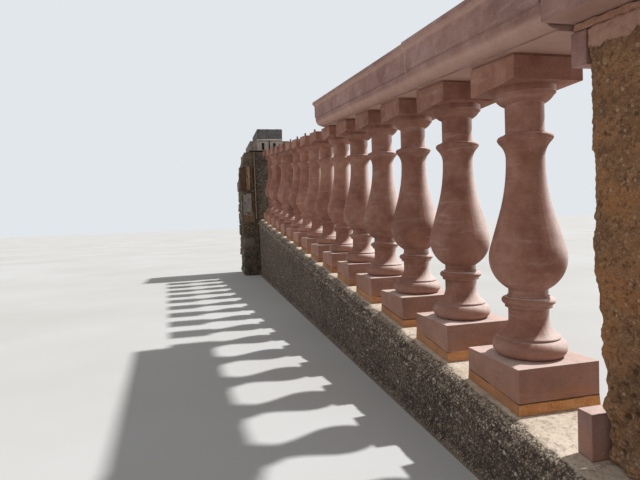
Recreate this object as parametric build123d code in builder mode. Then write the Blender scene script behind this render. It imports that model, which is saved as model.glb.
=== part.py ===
"""One bay of a raking stone balustrade between two piers, in millimetres.

The row climbs towards -X. The street is on the -Y side and +Z is up.
The origin is on the level foot of the kerb, at the middle of the whole length.
Balusters stand plumb: their base blocks are cut to the slope underneath,
their top blocks are cut to the slope on top, and the coping follows it.
"""
import os
from math import atan, cos, radians, sin, sqrt

from build123d import *

# The row
baluster_count = 15
spacing = 300.0
rise = 30.5  # climb from one baluster to the next
coped_count = 6  # balusters that carry coping so far

# Kerb
kerb_width = 314.0
kerb_least_height = 108.0  # at its downhill end
kerb_edge_drop = 30.0
kerb_edge_run = 26.0

# Base block and its mortar bed
base_block = 194.0
base_block_height = 70.0  # at the downhill side
base_bed = 25.0
base_bed_flare = 1.5

# Turned part: radii, and lengths from one member up to the next
torus_radius = 20.5
torus_reach = 79.0
quirk_depth = 2.5  # groove between the torus and the bell
quirk_height = 2.0
bell_foot_radius = 66.0
bell_shoulder = 4.0
bell_turn = 60.0
lower_neck_radius = 43.0
astragal_height = 123.0
astragal_radius = 8.0
astragal_reach = 57.0
astragal_seat = 6.5  # fillet under the astragal
astragal_seat_step = 7.0
astragal_fillet = 4.0
astragal_step = 3.0
bulb_foot_radius = 42.0
bulb_foot_rest = 14.0  # plain neck over the astragal
bulb_radius = 82.5
bulb_rise = 70.0  # from the bulb's foot to its widest point
bulb_belly = 80.7
bulb_shoulder = 90.0
taper_angle = 16.0
throat_radius = 41.0
throat_curve = 453.0
throat_rest = 2.0  # plain throat under the collar's cove
collar_radius = 7.0
collar_reach = 59.0
collar_lip = 3.0  # from the collar's nose in to its cove
collar_cove = 35.0
collar_fillet = 4.0
neck_rest = 63.0  # plain neck over the collar
echinus_rise = 20.0
echinus_reach = 63.0
echinus_bulge = 2.8
echinus_fillet = 2.0
echinus_lip = 14.0

# Top block
top_block = 164.0
top_block_height = 47.0  # at the downhill side

# Dowels of the balusters that wait for coping
dowel_diameter = 12.0
dowel_clearance = 0.3
dowel_depth = 60.0
dowel_stand = 30.0

# Coping
coping_bed = 5.5
coping_bed_inset = 3.0
soffit_width = 194.0
soffit_fillet = 3.0
ovolo_radius = 33.0
ovolo_step = 4.0
fascia_foot = 45.0
fascia_height = 47.0
cove_radius = 10.0
crown_lip = 12.0
coping_height = 124.0
weathering = 8.0  # fall of the top from its middle to its edges
coping_joint = 5.0
joint_inset = 2.0
joint_offset = 38.0  # uphill of the second baluster's axis
free_end_offset = 25.0  # uphill of the last coped baluster's axis
upper_stone_setback = 6.0

# Downhill pier
end_block_gap = 136.0  # from the first base block
end_block_length = 33.0
end_block_width = 150.0
lower_end_block_height = 79.0  # its top is level
upper_end_block_height = 57.0
core_length = 312.0
core_foot_width = 104.0
core_hip_width = 112.0
core_belly_width = 140.0
core_waist_width = 136.0
core_head_width = 152.0
core_edge = 14.0
pier_coping_lift = 10.0  # of its underside, above the coping's soffit
pier_coping_bed = 17.0

# Uphill pier
far_pier_gap = 106.0  # from the last base block
shaft_length = 560.0
shaft_width = 676.0
shaft_hip_width = 686.0
shaft_hip_drop = 285.0  # under the band course
shaft_shoulder_length = 556.0
shaft_shoulder_width = 584.0
shaft_shoulder_drop = 24.0
shaft_top_length = 540.0
shaft_top_width = 490.0
shaft_edge = 40.0
band_lift = 11.0  # of its underside, above the coping's soffit
band_length = 530.0
band_width = 450.0
band_shift = 18.0  # of its middle from the row's axis, away from the street
band_height = 113.0
band_arris = 8.0  # chamfer of its upper arrises
band_joint = 4.0
band_joint_offset = 10.0  # from the row's axis, away from the street
socket_width = 21.0
socket_depth = 60.0
socket_head = 82.0  # above the band's underside
street_socket_height = 69.0
street_socket_offset = 69.0  # from the joint
back_socket_height = 58.0
back_socket_offset = 56.0
cap_bed = 16.0
cap_bed_inset = 3.0
cap_length = 530.0
cap_width = 286.0
cap_height = 114.0
cap_arris = 10.0  # chamfer round its top

# Slope
grade = rise / spacing
slope_angle = atan(grade)
slope_normal = (sin(slope_angle), 0, cos(slope_angle))
uphill = (-cos(slope_angle), 0, sin(slope_angle))

# Heights of the turned part above the base block, stacked from one member to the next
bulb_foot_height = astragal_height + astragal_radius + astragal_fillet + bulb_foot_rest
bulb_height = bulb_foot_height + bulb_rise
taper_turn = radians(taper_angle)
taper_inset = bulb_radius - throat_radius - (bulb_shoulder + throat_curve) * (1 - cos(taper_turn))
taper_length = taper_inset / sin(taper_turn)
throat_top = bulb_height + (bulb_shoulder + throat_curve) * sin(taper_turn) + taper_length * cos(taper_turn)
collar_height = throat_top + throat_rest + collar_cove + collar_radius
echinus_height = collar_height + collar_radius + collar_fillet + neck_rest
top_block_level = echinus_height + echinus_rise + echinus_lip

# Distances uphill of the first baluster's axis
end_block_face = -(base_block / 2 + end_block_gap)
core_face = end_block_face - end_block_length
kerb_start = core_face - core_length
kerb_end = (baluster_count - 1) * spacing + base_block / 2 + far_pier_gap
row_end = kerb_end + shaft_length
row_middle = (kerb_start + row_end) / 2
first_joint = spacing + joint_offset
free_end = (coped_count - 1) * spacing + free_end_offset


def x_at(distance):
    """Place along X of a distance uphill of the first baluster."""
    return row_middle - distance


def kerb_top(distance):
    """Height of the kerb's raked top."""
    return kerb_least_height + (distance - kerb_start) * grade


def block_level(index):
    """Height of the level top of a base block."""
    downhill_side = index * spacing - base_block / 2
    return kerb_top(downhill_side) + base_bed + base_block_height


def top_block_crown(distance):
    """Height of the raked line through the tops of all top blocks."""
    downhill_corner = block_level(0) + top_block_level + top_block_height
    return downhill_corner + (distance + top_block / 2) * grade


def soffit(distance):
    """Height of the coping's soffit."""
    return top_block_crown(distance) + coping_bed


band_level = soffit(kerb_end) + band_lift


def raked_plane(distance, height):
    """Plane along the slope, through a point on the row's axis."""
    return Plane(origin=(x_at(distance), 0, height), x_dir=uphill, z_dir=slope_normal)


def section_plane(distance, height, shift=0.0):
    """Upright plane across the row, seen from the downhill end: local X is +Y."""
    return Plane(origin=(x_at(distance), shift, height), x_dir=(0, 1, 0), z_dir=(1, 0, 0))


def run_along_slope(length):
    """Length measured along the slope of a level length."""
    return length / cos(slope_angle)


def save(piece, name):
    """Labels a finished piece and writes its STEP file."""
    piece.part.label = name
    export_step(piece.part, f"parts/{name}.step")


os.makedirs("parts", exist_ok=True)


# Kerb: one mass of rough concrete, level underneath and raked on top
with BuildPart() as kerb:
    with BuildSketch(Plane.XZ):
        with BuildLine():
            Polyline(
                (x_at(kerb_start), 0),
                (x_at(kerb_end), 0),
                (x_at(kerb_end), kerb_top(kerb_end)),
                (x_at(kerb_start), kerb_top(kerb_start)),
                close=True,
            )
        make_face()
    extrude(amount=kerb_width / 2, both=True)
    for side in (-1, 1):
        with BuildSketch(section_plane(kerb_start, kerb_top(kerb_start))):
            with BuildLine():
                Polyline(
                    (side * kerb_width / 2, -kerb_edge_drop),
                    (side * kerb_width / 2, 0),
                    (side * (kerb_width / 2 - kerb_edge_run), 0),
                    close=True,
                )
            make_face()
        extrude(amount=run_along_slope(kerb_end - kerb_start), dir=uphill, mode=Mode.SUBTRACT)
save(kerb, "kerb")

# Mortar beds under the base blocks, a little wider where they lie on the kerb
with BuildPart() as base_beds:
    for index in range(baluster_count):
        distance = index * spacing
        foot_width = base_block + 2 * base_bed_flare
        with BuildSketch(raked_plane(distance, kerb_top(distance))):
            Rectangle(run_along_slope(foot_width), foot_width)
        with BuildSketch(raked_plane(distance, kerb_top(distance) + base_bed)):
            Rectangle(run_along_slope(base_block), base_block)
        loft()
save(base_beds, "base_beds")

# Turned part of a baluster: torus, bell, astragal, vase, collar, neck and echinus
with BuildPart() as turned:
    with BuildSketch(Plane.XZ):
        with BuildLine():
            torus_centre = torus_reach - torus_radius
            quirk_radius = bell_foot_radius - quirk_depth
            quirk_level = torus_radius + sqrt(torus_radius**2 - (quirk_radius - torus_centre) ** 2)
            bell_foot = quirk_level + quirk_height
            Line((0, 0), (torus_centre, 0))
            ThreePointArc((torus_centre, 0), (torus_reach, torus_radius), (quirk_radius, quirk_level))
            Polyline((quirk_radius, quirk_level), (quirk_radius, bell_foot), (bell_foot_radius, bell_foot))
            bell_draw_in = bell_foot_radius - lower_neck_radius
            bell_hollow = bell_draw_in / (1 - cos(radians(bell_turn))) - bell_shoulder
            shoulder = JernArc((bell_foot_radius, bell_foot), (0, 1), bell_shoulder, bell_turn)
            bell = JernArc(shoulder @ 1, shoulder % 1, bell_hollow, -bell_turn)

            astragal_centre = astragal_reach - astragal_radius
            astragal_top = astragal_height + astragal_radius
            seat_radius = lower_neck_radius + astragal_seat_step
            seat_drop = sqrt(astragal_radius**2 - (seat_radius - astragal_centre) ** 2)
            seat_foot = astragal_height - seat_drop - astragal_seat
            Polyline(
                bell @ 1,
                (lower_neck_radius, seat_foot),
                (seat_radius, seat_foot),
                (seat_radius, astragal_height - seat_drop),
            )
            ThreePointArc(
                (seat_radius, astragal_height - seat_drop),
                (astragal_reach, astragal_height),
                (astragal_centre, astragal_top),
            )
            Polyline(
                (astragal_centre, astragal_top),
                (bulb_foot_radius + astragal_step, astragal_top),
                (bulb_foot_radius + astragal_step, astragal_top + astragal_fillet),
                (bulb_foot_radius, astragal_top + astragal_fillet),
                (bulb_foot_radius, bulb_foot_height),
            )

            RadiusArc((bulb_foot_radius, bulb_foot_height), (bulb_radius, bulb_height), -bulb_belly)
            bulb = JernArc((bulb_radius, bulb_height), (0, 1), bulb_shoulder, taper_angle)
            taper = Line(bulb @ 1, bulb @ 1 + (bulb % 1) * taper_length)
            throat = JernArc(taper @ 1, taper % 1, throat_curve, -taper_angle)

            collar_centre = collar_reach - collar_radius
            collar_foot = collar_height - collar_radius
            collar_top = collar_height + collar_radius
            lip_radius = collar_reach - collar_lip
            lip_drop = sqrt(collar_radius**2 - (lip_radius - collar_centre) ** 2)
            cove_foot = (throat_radius, collar_foot - collar_cove)
            Line(throat @ 1, cove_foot)
            TangentArc(cove_foot, (lip_radius, collar_foot), tangent=(0, 1))
            Line((lip_radius, collar_foot), (lip_radius, collar_height - lip_drop))
            ThreePointArc(
                (lip_radius, collar_height - lip_drop),
                (collar_reach, collar_height),
                (collar_centre, collar_top),
            )
            neck_fillet = throat_radius + collar_fillet
            echinus_top = echinus_height + echinus_rise
            Polyline(
                (collar_centre, collar_top),
                (neck_fillet, collar_top),
                (neck_fillet, collar_top + collar_fillet),
                (throat_radius, collar_top + collar_fillet),
                (throat_radius, echinus_height),
            )
            SagittaArc((throat_radius, echinus_height), (echinus_reach, echinus_top), -echinus_bulge)
            Polyline(
                (echinus_reach, echinus_top),
                (echinus_reach + echinus_fillet, echinus_top),
                (echinus_reach + echinus_fillet, top_block_level),
                (0, top_block_level),
                (0, 0),
            )
        make_face()
    revolve(axis=Axis.Z)


def build_baluster(index):
    """One plumb baluster with its raked blocks, and a dowel bore where no coping lies."""
    distance = index * spacing
    level = block_level(index)
    crown = top_block_crown(distance)
    with BuildPart() as baluster:
        with BuildSketch(Plane((x_at(distance), 0, level))):
            Rectangle(base_block, base_block)
        extrude(amount=-base_block_height)
        split(bisect_by=raked_plane(distance, kerb_top(distance) + base_bed), keep=Keep.TOP)
        with BuildSketch(Plane((x_at(distance), 0, level + top_block_level))):
            Rectangle(top_block, top_block)
        extrude(amount=top_block_height + top_block * grade)
        split(bisect_by=raked_plane(distance, crown), keep=Keep.BOTTOM)
        with Locations((x_at(distance), 0, level)):
            add(turned.part)
        if index >= coped_count:
            with Locations((x_at(distance), 0, crown - dowel_depth)):
                Cylinder(
                    dowel_diameter / 2 + dowel_clearance,
                    dowel_depth + top_block * grade,
                    align=(Align.CENTER, Align.CENTER, Align.MIN),
                    mode=Mode.SUBTRACT,
                )
    return baluster


for index in range(baluster_count):
    save(build_baluster(index), f"baluster_{index + 1:02d}")

# Steel dowels standing in the tops of the balusters that wait for coping
with BuildPart() as dowels:
    for index in range(coped_count, baluster_count):
        distance = index * spacing
        with Locations((x_at(distance), 0, top_block_crown(distance) - dowel_depth)):
            Cylinder(
                dowel_diameter / 2,
                dowel_depth + dowel_stand,
                align=(Align.CENTER, Align.CENTER, Align.MIN),
            )
save(dowels, "dowels")

# Thin mortar beds between the first top blocks and the coping
with BuildPart() as coping_beds:
    for index in range(coped_count):
        distance = index * spacing
        near_side = distance - top_block / 2 + coping_bed_inset
        bed_length = min(distance + top_block / 2 - coping_bed_inset, free_end) - near_side
        with BuildSketch(section_plane(near_side, top_block_crown(near_side))):
            Rectangle(top_block - 2 * coping_bed_inset, coping_bed, align=(Align.CENTER, Align.MIN))
        extrude(amount=run_along_slope(bed_length), dir=uphill)
save(coping_beds, "coping_beds")


def coping_outline(inset=0.0):
    """Draws the moulded section in the active line, its soffit at height 0."""
    half_soffit = soffit_width / 2 - inset
    fascia = half_soffit + ovolo_radius + ovolo_step
    ovolo_top = soffit_fillet + ovolo_radius + inset
    fascia_top = fascia_foot + fascia_height
    crown_foot = coping_height - crown_lip
    for side in (-1, 1):
        Polyline(
            (0, inset),
            (side * half_soffit, inset),
            (side * half_soffit, soffit_fillet + inset),
        )
        ThreePointArc(
            (side * half_soffit, soffit_fillet + inset),
            (
                side * (half_soffit + ovolo_radius * sin(radians(45))),
                ovolo_top - ovolo_radius * cos(radians(45)),
            ),
            (side * (half_soffit + ovolo_radius), ovolo_top),
        )
        Polyline(
            (side * (half_soffit + ovolo_radius), ovolo_top),
            (side * (half_soffit + ovolo_radius), fascia_foot),
            (side * fascia, fascia_foot),
            (side * fascia, fascia_top),
        )
        ThreePointArc(
            (side * fascia, fascia_top),
            (
                side * (fascia + cove_radius * (1 - cos(radians(45)))),
                fascia_top + (crown_foot - fascia_top) * sin(radians(45)),
            ),
            (side * (fascia + cove_radius), crown_foot),
        )
        Polyline(
            (side * (fascia + cove_radius), crown_foot),
            (side * (fascia + cove_radius), coping_height - inset),
            (0, coping_height + weathering - inset),
        )


def build_coping(start, end, shift=0.0, inset=0.0):
    """A length of moulded coping between two upright ends."""
    with BuildPart() as stone:
        with BuildSketch(section_plane(start, soffit(start), shift)):
            with BuildLine():
                coping_outline(inset)
            make_face()
        extrude(amount=run_along_slope(end - start), dir=uphill)
    return stone


coping_lower = build_coping(end_block_face + coping_joint, first_joint)
save(coping_lower, "coping_lower")
coping_upper = build_coping(first_joint + coping_joint, free_end, upper_stone_setback)
save(coping_upper, "coping_upper")
coping_joint_mortar = build_coping(first_joint, first_joint + coping_joint, upper_stone_setback / 2, joint_inset)
save(coping_joint_mortar, "coping_joint_mortar")


def build_end_block(foot, head, head_fall):
    """A slab at the pier's face, raked underneath; heights are at its uphill face."""
    foot_fall = end_block_length * grade
    with BuildPart() as block:
        with BuildSketch(Plane.XZ):
            with BuildLine():
                Polyline(
                    (x_at(end_block_face), foot),
                    (x_at(core_face), foot - foot_fall),
                    (x_at(core_face), head - head_fall),
                    (x_at(end_block_face), head),
                    close=True,
                )
            make_face()
        extrude(amount=end_block_width / 2, both=True)
    return block


pier_soffit = soffit(end_block_face) + pier_coping_lift
bed_foot = pier_soffit - pier_coping_bed
kerb_level = kerb_top(end_block_face)
save(build_end_block(kerb_level, kerb_level + lower_end_block_height, 0), "pier_lower_end_block")
save(
    build_end_block(bed_foot - upper_end_block_height, bed_foot, end_block_length * grade),
    "pier_upper_end_block",
)

# Rough core of the downhill pier, stripped of its facing and bulging towards the middle
core_foot = kerb_top(core_face)
core_height = bed_foot - end_block_length * grade - core_foot
with BuildPart() as pier_core:
    core_widths = (core_foot_width, core_hip_width, core_belly_width, core_waist_width, core_head_width)
    for step, width in enumerate(core_widths):
        height = core_foot + core_height * step / (len(core_widths) - 1)
        with BuildSketch(raked_plane(core_face - core_length / 2, height - core_length / 2 * grade)):
            RectangleRounded(run_along_slope(core_length), width, core_edge)
    loft(ruled=True)
save(pier_core, "pier_core")

# Mortar packed between the downhill pier and its coping
with BuildPart() as pier_bed:
    with BuildSketch(section_plane(end_block_face, bed_foot)):
        Rectangle(end_block_width, pier_coping_bed, align=(Align.CENTER, Align.MIN))
    extrude(amount=-run_along_slope(end_block_length + core_length), dir=uphill)
save(pier_bed, "pier_bed")

# Coping over the downhill pier: no ovolo, a flat underside
with BuildPart() as pier_coping:
    with BuildSketch(section_plane(end_block_face, soffit(end_block_face))):
        with BuildLine():
            coping_outline()
        make_face()
        pier_fascia = soffit_width + 2 * (ovolo_radius + ovolo_step)
        Rectangle(pier_fascia, fascia_foot + fascia_height / 2, align=(Align.CENTER, Align.MIN))
        Rectangle(pier_fascia, pier_coping_lift, align=(Align.CENTER, Align.MIN), mode=Mode.SUBTRACT)
    extrude(amount=-run_along_slope(end_block_length + core_length), dir=uphill)
save(pier_coping, "pier_coping")

# Uphill pier: a rubble shaft drawn in under its band, its downhill face upright against the kerb
shaft_sections = (
    (0, shaft_length, shaft_width),
    (band_level - shaft_hip_drop, shaft_length, shaft_hip_width),
    (band_level - shaft_shoulder_drop, shaft_shoulder_length, shaft_shoulder_width),
    (band_level, shaft_top_length, shaft_top_width),
)
with BuildPart() as far_shaft:
    for height, length, width in shaft_sections:
        with BuildSketch(Plane.XY.offset(height)):
            with Locations((x_at(kerb_end + length / 2), 0)):
                RectangleRounded(length, width, shaft_edge)
    loft(ruled=True)
save(far_shaft, "far_pier_shaft")


def build_band_stone(side, socket_offset, socket_height):
    """Half of the band course, with its empty socket in the upright downhill face."""
    face = x_at(kerb_end)
    joint = band_joint_offset + side * band_joint / 2
    with BuildPart() as stone:
        with BuildSketch(Plane((face, band_shift, band_level))):
            Rectangle(band_length, band_width, align=(Align.MAX, Align.CENTER))
        extrude(amount=band_height)
        chamfer(stone.faces().sort_by(Axis.Z)[-1].edges(), length=band_arris)
        split(bisect_by=Plane(origin=(face, joint, band_level), z_dir=(0, side, 0)), keep=Keep.TOP)
        with Locations((face, band_joint_offset + side * socket_offset, band_level + socket_head)):
            Box(
                2 * socket_depth,
                socket_width,
                socket_height,
                align=(Align.CENTER, Align.CENTER, Align.MAX),
                mode=Mode.SUBTRACT,
            )
    return stone


save(build_band_stone(-1, street_socket_offset, street_socket_height), "far_pier_band_street")
save(build_band_stone(1, back_socket_offset, back_socket_height), "far_pier_band_back")

# Bed and cap of the uphill pier, flush with the band's downhill face
cap_middle = (x_at(kerb_end + cap_length / 2), band_shift, band_level + band_height)
with BuildPart() as far_cap_bed:
    with BuildSketch(Plane(cap_middle)):
        Rectangle(cap_length - 2 * cap_bed_inset, cap_width - 2 * cap_bed_inset)
    extrude(amount=cap_bed)
save(far_cap_bed, "far_pier_cap_bed")

with BuildPart() as far_cap:
    with BuildSketch(Plane(cap_middle).offset(cap_bed)):
        Rectangle(cap_length, cap_width)
    extrude(amount=cap_height)
    chamfer(far_cap.faces().sort_by(Axis.Z)[-1].edges(), length=cap_arris)
save(far_cap, "far_pier_cap")
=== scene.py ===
"""The look of the stone balustrade: its finishes, broken surfaces, rubble and studio."""
import logging
import math
import random
from dataclasses import dataclass
from enum import Enum

import bpy
import numpy as np
from mathutils import Color, Euler, Matrix, Vector


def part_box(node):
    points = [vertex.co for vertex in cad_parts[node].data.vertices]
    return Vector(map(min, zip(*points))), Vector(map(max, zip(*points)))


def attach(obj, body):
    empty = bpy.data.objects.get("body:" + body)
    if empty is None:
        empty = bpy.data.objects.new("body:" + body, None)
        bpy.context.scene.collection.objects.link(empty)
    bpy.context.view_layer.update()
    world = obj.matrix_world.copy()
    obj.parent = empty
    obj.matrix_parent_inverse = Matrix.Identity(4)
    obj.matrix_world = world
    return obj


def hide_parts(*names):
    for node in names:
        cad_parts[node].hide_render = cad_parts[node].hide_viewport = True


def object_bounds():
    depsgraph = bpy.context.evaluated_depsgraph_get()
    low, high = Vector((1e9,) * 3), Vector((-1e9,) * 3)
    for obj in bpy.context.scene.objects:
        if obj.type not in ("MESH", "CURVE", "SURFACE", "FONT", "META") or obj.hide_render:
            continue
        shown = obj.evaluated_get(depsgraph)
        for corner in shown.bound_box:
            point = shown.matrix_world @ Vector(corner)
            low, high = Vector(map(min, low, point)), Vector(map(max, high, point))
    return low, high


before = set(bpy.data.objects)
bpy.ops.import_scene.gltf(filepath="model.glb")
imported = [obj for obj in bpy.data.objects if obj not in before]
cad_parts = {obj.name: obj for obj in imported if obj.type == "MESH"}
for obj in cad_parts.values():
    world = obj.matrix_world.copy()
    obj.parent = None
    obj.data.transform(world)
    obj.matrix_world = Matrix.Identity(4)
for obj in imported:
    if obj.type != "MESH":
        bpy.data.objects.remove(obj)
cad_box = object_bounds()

log = logging.getLogger("balustrade")

Colour = tuple[float, float, float]
Direction = tuple[float, float, float]
Span = tuple[float, float]
Piece = bpy.types.Object
Socket = bpy.types.NodeSocket
Value = Socket | float | Colour

BODY = "root"
WHITE = 255.0
# Surfaces facing this way, behind the row and upwards, get a painted highlight as if the key lamp lit them.
LIT_SIDE = (0.0, 0.8, 0.6)
STREET_SIDE = (0.0, -1.0, 0.0)


@dataclass(frozen=True)
class Row:
    """Where the row stands, in metres: it climbs towards -X with its street on -Y."""

    spacing: float = 0.3
    grade: float = 0.0305 / 0.3
    first_axis: float = 2.1925
    downhill_end: float = 2.7705
    kerb_least_height: float = 0.108
    kerb_half_width: float = 0.157
    bed_height: float = 0.025

    def kerb_top(self, x: float | np.ndarray) -> float | np.ndarray:
        """Height of the kerb's raked top at a place along the row."""
        return self.kerb_least_height + (self.downhill_end - x) * self.grade


ROW = Row()


@dataclass(frozen=True)
class FarPier:
    """Where the uphill pier stands, in metres."""

    face: float = -2.2105
    band_level: float = 1.3634
    band_middle: float = 0.018
    socket_line: float = 0.14
    render_half_width: float = 0.168
    levels: tuple[float, ...] = (0.0, 1.078, 1.339, 1.3634)
    half_widths: tuple[float, ...] = (0.338, 0.343, 0.292, 0.245)
    backs: tuple[float, ...] = (-2.7705, -2.7705, -2.7665, -2.7505)

    def half_width(self, level: float) -> float:
        """Half the shaft's width at a height."""
        return float(np.interp(level, self.levels, self.half_widths))

    def uphill_face(self, level: float) -> float:
        """Place of the shaft's uphill face at a height."""
        return float(np.interp(level, self.levels, self.backs))


FAR_PIER = FarPier()


class Calc(Enum):
    """Sums that a pattern can make."""

    ADD = "ADD"
    SUBTRACT = "SUBTRACT"
    MULTIPLY = "MULTIPLY"
    MULTIPLY_ADD = "MULTIPLY_ADD"
    FLOOR = "FLOOR"
    LARGER = "MAXIMUM"
    ABSOLUTE = "ABSOLUTE"


class Blend(Enum):
    """Ways to lay one colour over another."""

    COVER = "MIX"
    DARKEN = "MULTIPLY"


class Rough(Enum):
    """Kinds of texture that wear a surface away."""

    LUMPS = "CLOUDS"
    CHIPS = "VORONOI"
    PITS = "STUCCI"


@dataclass(frozen=True)
class Noise:
    """Soft noise: spots per metre, finer layers, their strength, and a squeeze along each axis."""

    scale: float
    detail: float = 4.0
    roughness: float = 0.55
    squeeze: Direction | None = None


@dataclass(frozen=True)
class Reach:
    """Two readings of a pattern and the results that they give, with a smooth change between."""

    low: float
    high: float
    start: float = 0.0
    end: float = 1.0


def linear(colour: Colour) -> tuple[float, float, float, float]:
    """Turns a display colour from 0 to 255 into the linear one that a shader takes."""
    return (*Color([part / WHITE for part in colour]).from_srgb_to_scene_linear(), 1.0)


class Pattern:
    """A material that a finish writes step by step as nodes on Object coordinates."""

    mix_under = 6
    mix_over = 7
    mix_result = 2
    jitter_scale = 0.7
    jitter_share = 0.6
    bevel_samples = 4
    arris_turn = Reach(0.985, 0.86)
    specular = 0.35

    def __init__(self, name: str) -> None:
        """Starts an empty material.

        Args:
            name: The material's name.
        """
        self.material = bpy.data.materials.new(name)
        self.material.use_nodes = True
        self.tree = self.material.node_tree
        self.tree.nodes.clear()
        self.place = self.add("ShaderNodeTexCoord").outputs["Object"]

    def add(self, kind: str, **settings: object) -> bpy.types.Node:
        """Adds a node and sets its properties.

        Args:
            kind: The node's type name.
            settings: Properties of the node.

        Returns:
            The new node.
        """
        node = self.tree.nodes.new(kind)
        for key, value in settings.items():
            setattr(node, key, value)
        return node

    def feed(self, socket: Socket, value: Value) -> None:
        """Links a socket to another or sets it.

        Args:
            socket: The input to fill.
            value: A socket, a number or a display colour.
        """
        if isinstance(value, bpy.types.NodeSocket):
            self.tree.links.new(value, socket)
        elif isinstance(value, tuple):
            socket.default_value = linear(value)
        else:
            socket.default_value = value

    def squeezed(self, squeeze: Direction) -> Socket:
        """Object coordinates multiplied along each axis.

        Args:
            squeeze: One factor per axis.

        Returns:
            The new coordinates.
        """
        node = self.add("ShaderNodeMapping")
        self.feed(node.inputs["Vector"], self.place)
        node.inputs["Scale"].default_value = squeeze
        return node.outputs["Vector"]

    def noise(self, kind: Noise) -> Socket:
        """Soft noise from 0 to 1.

        Args:
            kind: How coarse and how rough it is.

        Returns:
            The noise value.
        """
        node = self.add("ShaderNodeTexNoise")
        self.feed(node.inputs["Vector"], self.squeezed(kind.squeeze) if kind.squeeze else self.place)
        self.feed(node.inputs["Scale"], kind.scale)
        self.feed(node.inputs["Detail"], kind.detail)
        self.feed(node.inputs["Roughness"], kind.roughness)
        return node.outputs["Fac"]

    def cells(self, scale: float) -> tuple[Socket, Socket]:
        """Cells with wavering edges, as of grains or pebbles.

        Args:
            scale: Cells per metre.

        Returns:
            The distance from a cell's middle, and one random value per cell.
        """
        jitter = self.add("ShaderNodeTexNoise")
        self.feed(jitter.inputs["Vector"], self.place)
        self.feed(jitter.inputs["Scale"], scale * self.jitter_scale)
        warped = self.add("ShaderNodeVectorMath", operation="MULTIPLY_ADD")
        self.feed(warped.inputs[0], jitter.outputs["Color"])
        warped.inputs[1].default_value = (self.jitter_share / scale,) * 3
        self.feed(warped.inputs[2], self.place)
        node = self.add("ShaderNodeTexVoronoi")
        self.feed(node.inputs["Vector"], warped.outputs["Vector"])
        self.feed(node.inputs["Scale"], scale)
        split = self.add("ShaderNodeSeparateColor")
        self.feed(split.inputs["Color"], node.outputs["Color"])
        return node.outputs["Distance"], split.outputs["Red"]

    def calc(self, sum_kind: Calc, first: Value, second: Value = 0.0, third: Value = 0.0) -> Socket:
        """Makes a sum of up to three values.

        Args:
            sum_kind: The sum.
            first: Its first value.
            second: Its second value.
            third: Its third value, which MULTIPLY_ADD adds.

        Returns:
            The result.
        """
        node = self.add("ShaderNodeMath", operation=sum_kind.value)
        for socket, value in zip(node.inputs, (first, second, third)):
            self.feed(socket, value)
        return node.outputs["Value"]

    def times(self, first: Value, second: Value) -> Socket:
        """Multiplies two values."""
        return self.calc(Calc.MULTIPLY, first, second)

    def average(self, first: Value, second: Value, share: float = 0.5) -> Socket:
        """Averages two values, the first with its share and the second with the rest."""
        return self.calc(Calc.MULTIPLY_ADD, first, share, self.times(second, 1.0 - share))

    def span(self, value: Value, reach: Reach, share: float = 1.0) -> Socket:
        """Carries a range of values smoothly over to another.

        Args:
            value: What is read.
            reach: The readings and their results, which hold beyond its ends.
            share: Factor on both results.

        Returns:
            The new value.
        """
        node = self.add("ShaderNodeMapRange", interpolation_type="SMOOTHSTEP")
        self.feed(node.inputs["Value"], value)
        self.feed(node.inputs["From Min"], reach.low)
        self.feed(node.inputs["From Max"], reach.high)
        self.feed(node.inputs["To Min"], reach.start * share)
        self.feed(node.inputs["To Max"], reach.end * share)
        return node.outputs["Result"]

    def blend(self, share: Value, under: Value, over: Value, kind: Blend = Blend.COVER) -> Socket:
        """Lays one colour over another.

        Args:
            share: How much of the upper colour shows.
            under: The lower colour.
            over: The upper colour.
            kind: The way they mix.

        Returns:
            The mixed colour.
        """
        node = self.add("ShaderNodeMix", data_type="RGBA", blend_type=kind.value, clamp_factor=True)
        self.feed(node.inputs["Factor"], share)
        self.feed(node.inputs[self.mix_under], under)
        self.feed(node.inputs[self.mix_over], over)
        return node.outputs[self.mix_result]

    def ramp(self, value: Value, places: tuple[float, ...], colours: tuple[Colour, ...]) -> Socket:
        """Turns a value into a colour by stops along it.

        Args:
            value: What is read.
            places: Readings with a colour of their own, in rising order.
            colours: Their colours.

        Returns:
            The colour.
        """
        node = self.add("ShaderNodeValToRGB")
        self.feed(node.inputs["Fac"], value)
        band = node.color_ramp
        while len(band.elements) < len(places):
            band.elements.new(1.0)
        for element, place, colour in zip(band.elements, places, colours):
            element.position = place
            element.color = linear(colour)
        return node.outputs["Color"]

    def grey(self, value: Value) -> Socket:
        """Makes a grey colour of a value.

        Args:
            value: How light it is, from 0 to 1 or past it.

        Returns:
            The colour.
        """
        node = self.add("ShaderNodeCombineColor")
        for letter in ("Red", "Green", "Blue"):
            self.feed(node.inputs[letter], value)
        return node.outputs["Color"]

    def parts(self, vector: Socket) -> bpy.types.bpy_prop_collection:
        """Splits a vector into outputs named X, Y and Z.

        Args:
            vector: The vector.

        Returns:
            The three outputs.
        """
        node = self.add("ShaderNodeSeparateXYZ")
        self.feed(node.inputs["Vector"], vector)
        return node.outputs

    def axis(self, letter: str) -> Socket:
        """One of the object's coordinates."""
        return self.parts(self.place)[letter]

    def surface(self, reading: str) -> Socket:
        """What the surface itself tells, such as its normal."""
        return self.add("ShaderNodeNewGeometry").outputs[reading]

    def above_kerb(self) -> Socket:
        """Height above the kerb's raked top."""
        raked = self.calc(Calc.MULTIPLY_ADD, self.axis("X"), ROW.grade, self.axis("Z"))
        return self.calc(Calc.SUBTRACT, raked, ROW.kerb_top(0.0))

    def facing_up(self) -> Socket:
        """How far the surface faces up, from -1 to 1."""
        return self.parts(self.surface("Normal"))["Z"]

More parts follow.
